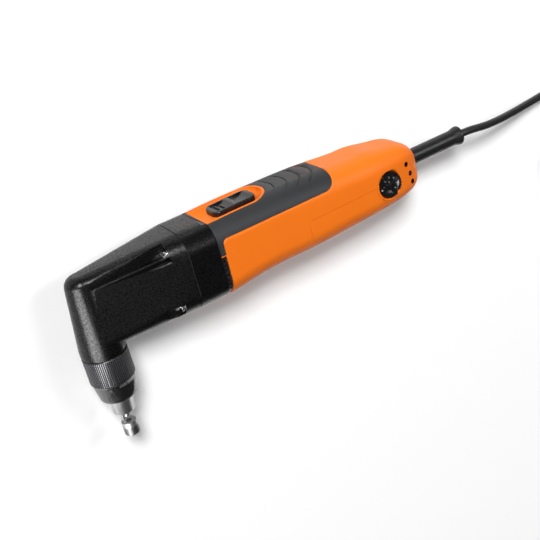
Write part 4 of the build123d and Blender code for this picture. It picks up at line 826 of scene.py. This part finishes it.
@dataclass
class SlideSwitch(SubAssembly):
    """Slide switch with two short ribs for the thumb, its link and module. Sizes are in millimetres."""

    slider_edge: float = 0.6
    rib_places: tuple[float, ...] = (33.6, 38.2)
    rib_middle: float = 31.5
    rib_half_length: float = 4.4
    rib_half_width: float = 0.65
    rib_height: float = 0.7
    hollow_middle: float = 36.5
    hollow_radius: float = 15.0
    hollow_floor: float = 32.7
    end_power: float = 6.0
    rings: int = 21
    sides: int = 16

    def rib(self, number: int, x: float) -> bpy.types.Mesh:
        """One rib across the front hollow.

        Its section is an ellipse of the rib's width and height on the hollow's round floor. Along Z it
        shrinks by (1 - u^p)^(1/p), so that both ends close.

        Args:
            number: its number.
            x: its place along the slider.

        Returns:
            The rib's mesh.
        """
        u = np.sin(np.linspace(-math.pi / 2, math.pi / 2, self.rings))[:, None]
        v = np.linspace(0, 2 * math.pi, self.sides, endpoint=False)[None, :]
        shrink = np.clip(1 - np.abs(u) ** self.end_power, 0, 1) ** (1 / self.end_power)
        off = x - self.hollow_middle
        floor = self.hollow_floor + self.hollow_radius - math.sqrt(self.hollow_radius**2 - off**2)
        across = x + self.rib_half_width * shrink * np.cos(v)
        up = floor + self.rib_height * shrink * np.sin(v)
        along = self.rib_middle + self.rib_half_length * u + 0 * v
        return grid_mesh(f"thumb_rib_{number}", np.stack([across, up, along], axis=-1) * MM)

    def build(self) -> None:
        """Dresses the switch and adds its ribs."""
        self.rounded("switch_slider", self.slider_edge, SLIDER)
        for number, x in enumerate(self.rib_places, 1):
            self.add(self.rib(number, x), "switch", "black_plastic", BLACK)
        self.plain("switch_link", "switch_module")


@dataclass
class SpeedDial(SubAssembly):
    """Speed dial with its numbers and its white dot, its potentiometer and module.

    Sizes are in millimetres.
    """

    dial_edge: float = 0.3
    middle: tuple[float, float] = (183.5, -1.3)
    face: float = 61.5
    pocket_floor: float = 60.2
    number_ring: float = 6.5
    number_height: float = 2.9
    number_relief: float = 0.06
    number_angles: tuple[float, ...] = (180.0, 135.0, 90.0, 45.0, 0.0, -45.0)
    dot_ring: float = 9.9
    dot_angle: float = -171.0
    dot_radius: float = 0.95
    dot_height: float = 0.25
    rings: int = 9
    sides: int = 24

    def around(self, ring: float, angle: float) -> tuple[float, float]:
        """X and Y of a place on the dial's face.

        Args:
            ring: its distance from the dial's middle, in millimetres.
            angle: its direction from there, in degrees.

        Returns:
            X and Y in millimetres.
        """
        turn = math.radians(angle)
        return self.middle[0] + ring * math.cos(turn), self.middle[1] + ring * math.sin(turn)

    def numbers(self) -> bpy.types.Mesh:
        """Numbers 1 to 6 round the dial, their feet towards its middle.

        Returns:
            One mesh of all the numbers.
        """
        work = bmesh.new()
        for number, angle in enumerate(self.number_angles, 1):
            text = bpy.data.curves.new("number", "FONT")
            text.body = str(number)
            text.size = self.number_height * MM
            text.extrude = self.number_relief * MM
            text.align_x = "CENTER"
            text.align_y = "CENTER"
            holder = bpy.data.objects.new("number", text)
            shape = bpy.data.meshes.new_from_object(holder)
            x, y = self.around(self.number_ring, angle)
            turn = Matrix.Rotation(math.radians(angle - 90), 4, "Z")
            shape.transform(Matrix.Translation(Vector((x, y, self.pocket_floor)) * MM) @ turn)
            work.from_mesh(shape)
            bpy.data.objects.remove(holder)
            bpy.data.curves.remove(text)
            bpy.data.meshes.remove(shape)
        mesh = bpy.data.meshes.new("dial_numbers")
        work.to_mesh(mesh)
        work.free()
        return mesh

    def dot(self) -> bpy.types.Mesh:
        """White dot: a flat ellipsoid whose lower half is in the dial.

        Returns:
            The dot's mesh.
        """
        u = np.linspace(-math.pi / 2, math.pi / 2, self.rings)[:, None]
        v = np.linspace(0, 2 * math.pi, self.sides, endpoint=False)[None, :]
        x, y = self.around(self.dot_ring, self.dot_angle)
        across = x + self.dot_radius * np.cos(u) * np.cos(v)
        along = y + self.dot_radius * np.cos(u) * np.sin(v)
        up = self.face + self.dot_height * np.sin(u) + 0 * v
        return grid_mesh("dial_dot", np.stack([across, along, up], axis=-1) * MM)

    def build(self) -> None:
        """Dresses the dial and adds its marks."""
        self.rounded("speed_dial", self.dial_edge, DIAL)
        self.add(self.numbers(), "dial", "nickel", PAINT)
        self.add(self.dot(), "dial", "nickel", PAINT)
        self.plain("dial_potentiometer", "speed_module")


@dataclass
class MainsLead(SubAssembly):
    """Mains lead: from the strain relief to the floor, round the coil and down to the plug.

    Sizes are in millimetres and repeat those of the solid.
    """

    radius: float = 3.6
    length: float = 5000.0
    exit_place: Place = (285.0, 1.0, 31.5)
    coil_middle: tuple[float, float] = (488.0, -72.0)
    coil_outer: float = 64.0
    coil_pitch: float = 7.8
    coil_floor: float = 5.1
    layer_turns: tuple[float, ...] = (3.25, 3.25, 3.25, 2.75)
    climb_turns: float = 0.5
    turn_points: int = 16
    facets: int = 5
    steps: int = 6
    relief_edge: float = 0.25
    plug_edge: float = 1.2
    tie_edge: float = 0.3
    lead_points: tuple[Place, ...] = (
        (282.0, 1.0, 31.5),
        (296.5, 1.0, 31.5),
        (316.0, -2.8, 29.6),
        (335.0, -5.4, 25.8),
        (364.0, -7.8, 18.6),
        (393.0, -9.4, 10.8),
        (422.0, -9.6, 6.0),
        (456.5, -7.4, 5.1),
    )
    tail_points: tuple[Place, ...] = (
        (510.0, -11.5, 28.5),
        (543.0, -23.0, 26.5),
        (562.0, -52.0, 18.0),
        (564.0, -87.0, 9.0),
        (551.0, -120.0, 4.6),
        (526.0, -145.0, 6.0),
        (496.0, -158.0, 13.0),
        (472.0, -158.0, 13.0),
    )

    def coil_points(self) -> np.ndarray:
        """Control points of the coil: flat spirals in layers, with part of a turn's climb between them.

        Returns:
            Points in millimetres, from the lead's end to the tail.
        """
        step = 1.0 / self.turn_points
        rows: list[np.ndarray] = []
        turned, radius, height, way = 0.0, self.coil_outer, self.coil_floor, -1
        for layer, turns in enumerate(self.layer_turns):
            t = np.arange(0, turns, step)
            reach = radius + way * self.coil_pitch * t
            rows.append(np.column_stack([turned + t, reach, np.full_like(t, height)]))
            turned, radius = turned + turns, radius + way * self.coil_pitch * turns
            if layer == len(self.layer_turns) - 1:
                rows.append(np.array([[turned, radius, height]]))
                break
            s = np.arange(0, 1, step / self.climb_turns)
            swell = way * self.coil_pitch / 2 * (s - s * s)
            rise = self.coil_pitch * (3 * s * s - 2 * s**3)
            rows.append(np.column_stack([turned + s * self.climb_turns, radius + swell, height + rise]))
            turned, height, way = turned + self.climb_turns, height + self.coil_pitch, -way
        turn, reach, level = np.concatenate(rows).T
        angle = math.pi / 2 - 2 * math.pi * turn
        reach = reach.copy()
        reach[1:-1] /= math.cos(math.pi / self.turn_points)
        x = self.coil_middle[0] + reach * np.cos(angle)
        y = self.coil_middle[1] + reach * np.sin(angle)
        return np.column_stack([x, y, level])

    def lay(self, with_pieces: list[bpy.types.Object]) -> bpy.types.Object:
        """Lays the lead as one smooth curve.

        Args:
            with_pieces: the plug, its pins and the coil's band; not used.

        Returns:
            The curve object.
        """
        route = np.concatenate([self.lead_points, self.coil_points(), self.tail_points]) * MM
        curve = bpy.data.curves.new("mains_lead", "CURVE")
        curve.dimensions = "3D"
        curve.bevel_depth = self.radius * MM
        curve.bevel_resolution = self.facets
        curve.use_fill_caps = True
        spline = curve.splines.new("NURBS")
        spline.points.add(len(route) - 1)
        spline.points.foreach_set("co", np.column_stack([route, np.ones(len(route))]).ravel())
        spline.order_u = 3
        spline.use_endpoint_u = True
        spline.resolution_u = self.steps
        lead = bpy.data.objects.new("mains_lead", curve)
        bpy.context.collection.objects.link(lead)
        self.paint(lead, CORD)
        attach(lead, "frame")
        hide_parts("cord_lead", "cord_coil", "cord_tail")
        return lead

    def build(self) -> None:
        """Dresses the strain relief, the plug and the band, and lays the lead."""
        self.rounded("strain_relief", self.relief_edge, SLEEVE)
        plug = self.rounded("plug_body", self.plug_edge)
        tie = self.rounded("coil_tie", self.tie_edge)
        self.plain("plug_pins", "cord_entry", "cord_clamp", "clamp_screws")
        self.lay([plug, self.shown["plug_pins"], tie])


@dataclass(frozen=True)
class Lamp:
    """One soft area lamp.

    Args:
        name: its name.
        place: where it hangs, in metres.
        aim: the point it looks at.
        size: its width and length, in metres.
        power: its power in watts.
    """

    name: str
    place: Place
    aim: Place
    size: tuple[float, float]
    power: float


@dataclass
class Studio:
    """Floor, lamps and camera of the photograph.

    Sizes are in metres, apart from the lens and the sensor, which are in millimetres. The window's edge and
    middle are cosines of the angle from its direction.
    """

    camera_place: Place = (-0.2662, 0.3440, 0.7638)
    camera_right: Place = (0.83482, -0.23181, 0.49934)
    camera_back: Place = (-0.37203, 0.43104, 0.82207)
    lens: float = 68.87
    sensor: float = 36.0
    sight: float = 50.0
    floor_half: float = 6.0
    floor_colour: Colour = (0.98, 0.98, 0.98)
    floor_roughness: float = 0.9
    floor_glow: float = 0.05
    world_level: float = 0.06
    window_way: Place = (-0.76, -0.24, 0.6)
    window_edge: float = 0.85
    window_middle: float = 0.978
    window_level: float = 13.0
    lamps: tuple[Lamp, ...] = (
        Lamp("key", (-2.05, 4.7, 5.42), (0.1, -0.05, 0.0), (2.0, 2.0), 590.0),
        Lamp("top", (2.2, 1.2, 3.1), (0.1, 0.0, 0.0), (0.8, 1.6), 36.0),
        Lamp("left", (-1.6, -0.85, 0.85), (-0.08, -0.05, 0.03), (0.5, 0.5), 3.0),
    )

    def camera(self) -> None:
        """Places the camera at the photograph's point of view."""
        back = Vector(self.camera_back).normalized()
        right = Vector(self.camera_right)
        right = (right - back * right.dot(back)).normalized()
        up = back.cross(right)
        data = bpy.data.cameras.new("camera")
        data.lens = self.lens
        data.sensor_width = self.sensor
        data.clip_end = self.sight
        rig = bpy.data.objects.new("camera", data)
        bpy.context.collection.objects.link(rig)
        turn = Matrix((right, up, back)).transposed().to_4x4()
        rig.matrix_world = Matrix.Translation(self.camera_place) @ turn
        bpy.context.scene.camera = rig

    def floor(self) -> None:
        """Lays the pale floor, which keeps the shadow and shows white to the camera."""
        half = self.floor_half
        corners = np.array([[-half, -half, 0], [half, -half, 0], [half, half, 0], [-half, half, 0]])
        mesh = bpy.data.meshes.new("floor")
        mesh.from_pydata(corners.tolist(), [], [(0, 1, 2, 3)])
        ground = bpy.data.objects.new("floor", mesh)
        bpy.context.collection.objects.link(ground)
        material = bpy.data.materials.new("floor")
        material.use_nodes = True
        nodes, links = material.node_tree.nodes, material.node_tree.links
        shader = nodes["Principled BSDF"]
        shader.inputs["Base Color"].default_value = (*self.floor_colour, 1)
        shader.inputs["Roughness"].default_value = self.floor_roughness
        shader.inputs["Specular IOR Level"].default_value = 0.0
        shader.inputs["Emission Color"].default_value = (1, 1, 1, 1)
        path = nodes.new("ShaderNodeLightPath")
        seen = nodes.new("ShaderNodeMath")
        seen.operation = "MAXIMUM"
        links.new(path.outputs["Is Camera Ray"], seen.inputs[0])
        links.new(path.outputs["Is Glossy Ray"], seen.inputs[1])
        glow = nodes.new("ShaderNodeMath")
        glow.operation = "MULTIPLY"
        glow.inputs[1].default_value = self.floor_glow
        links.new(seen.outputs["Value"], glow.inputs[0])
        links.new(glow.outputs["Value"], shader.inputs["Emission Strength"])
        mesh.materials.append(material)

    @staticmethod
    def hang(lamp: Lamp) -> None:
        """Adds a lamp.

        Args:
            lamp: the lamp.
        """
        data = bpy.data.lights.new(lamp.name, "AREA")
        data.shape = "RECTANGLE"
        data.size, data.size_y = lamp.size
        data.energy = lamp.power
        rig = bpy.data.objects.new(lamp.name, data)
        bpy.context.collection.objects.link(rig)
        rig.location = lamp.place
        rig.rotation_euler = (Vector(lamp.aim) - Vector(lamp.place)).to_track_quat("-Z", "Y").to_euler()

    def room(self) -> None:
        """Dim even room with one soft bright window that gloss shows, left of the camera."""
        world = bpy.data.worlds.new("studio")
        world.use_nodes = True
        nodes, links = world.node_tree.nodes, world.node_tree.links
        sky = nodes["Background"]
        sky.inputs["Color"].default_value = (1, 1, 1, 1)
        place = nodes.new("ShaderNodeTexCoord")
        near = nodes.new("ShaderNodeVectorMath")
        near.operation = "DOT_PRODUCT"
        near.inputs[1].default_value = Vector(self.window_way).normalized()
        links.new(place.outputs["Generated"], near.inputs[0])
        window = nodes.new("ShaderNodeMapRange")
        window.interpolation_type = "SMOOTHSTEP"
        window.inputs["From Min"].default_value = self.window_edge
        window.inputs["From Max"].default_value = self.window_middle
        window.inputs["To Min"].default_value = self.world_level
        window.inputs["To Max"].default_value = self.window_level
        links.new(near.outputs["Value"], window.inputs["Value"])
        path = nodes.new("ShaderNodeLightPath")
        choose = nodes.new("ShaderNodeMix")
        choose.inputs["A"].default_value = self.world_level
        links.new(path.outputs["Is Glossy Ray"], choose.inputs["Factor"])
        links.new(window.outputs["Result"], choose.inputs["B"])
        links.new(choose.outputs["Result"], sky.inputs["Strength"])
        bpy.context.scene.world = world

    def build(self) -> None:
        """Sets up the whole studio."""
        bpy.context.scene.view_settings.view_transform = "Standard"
        self.room()
        self.floor()
        for lamp in self.lamps:
            self.hang(lamp)
        self.camera()


def main() -> None:
    """Builds the dressed part and its studio."""
    logging.basicConfig(level=logging.INFO)
    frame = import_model()
    kit = MaterialKit()
    Studio().build()
    for sub_assembly in (MainsLead, GearHead, CuttingEnd, MotorBody, SoftGrip, SlideSwitch, SpeedDial):
        sub_assembly(frame, kit).build()


if __name__ == "__main__":
    main()
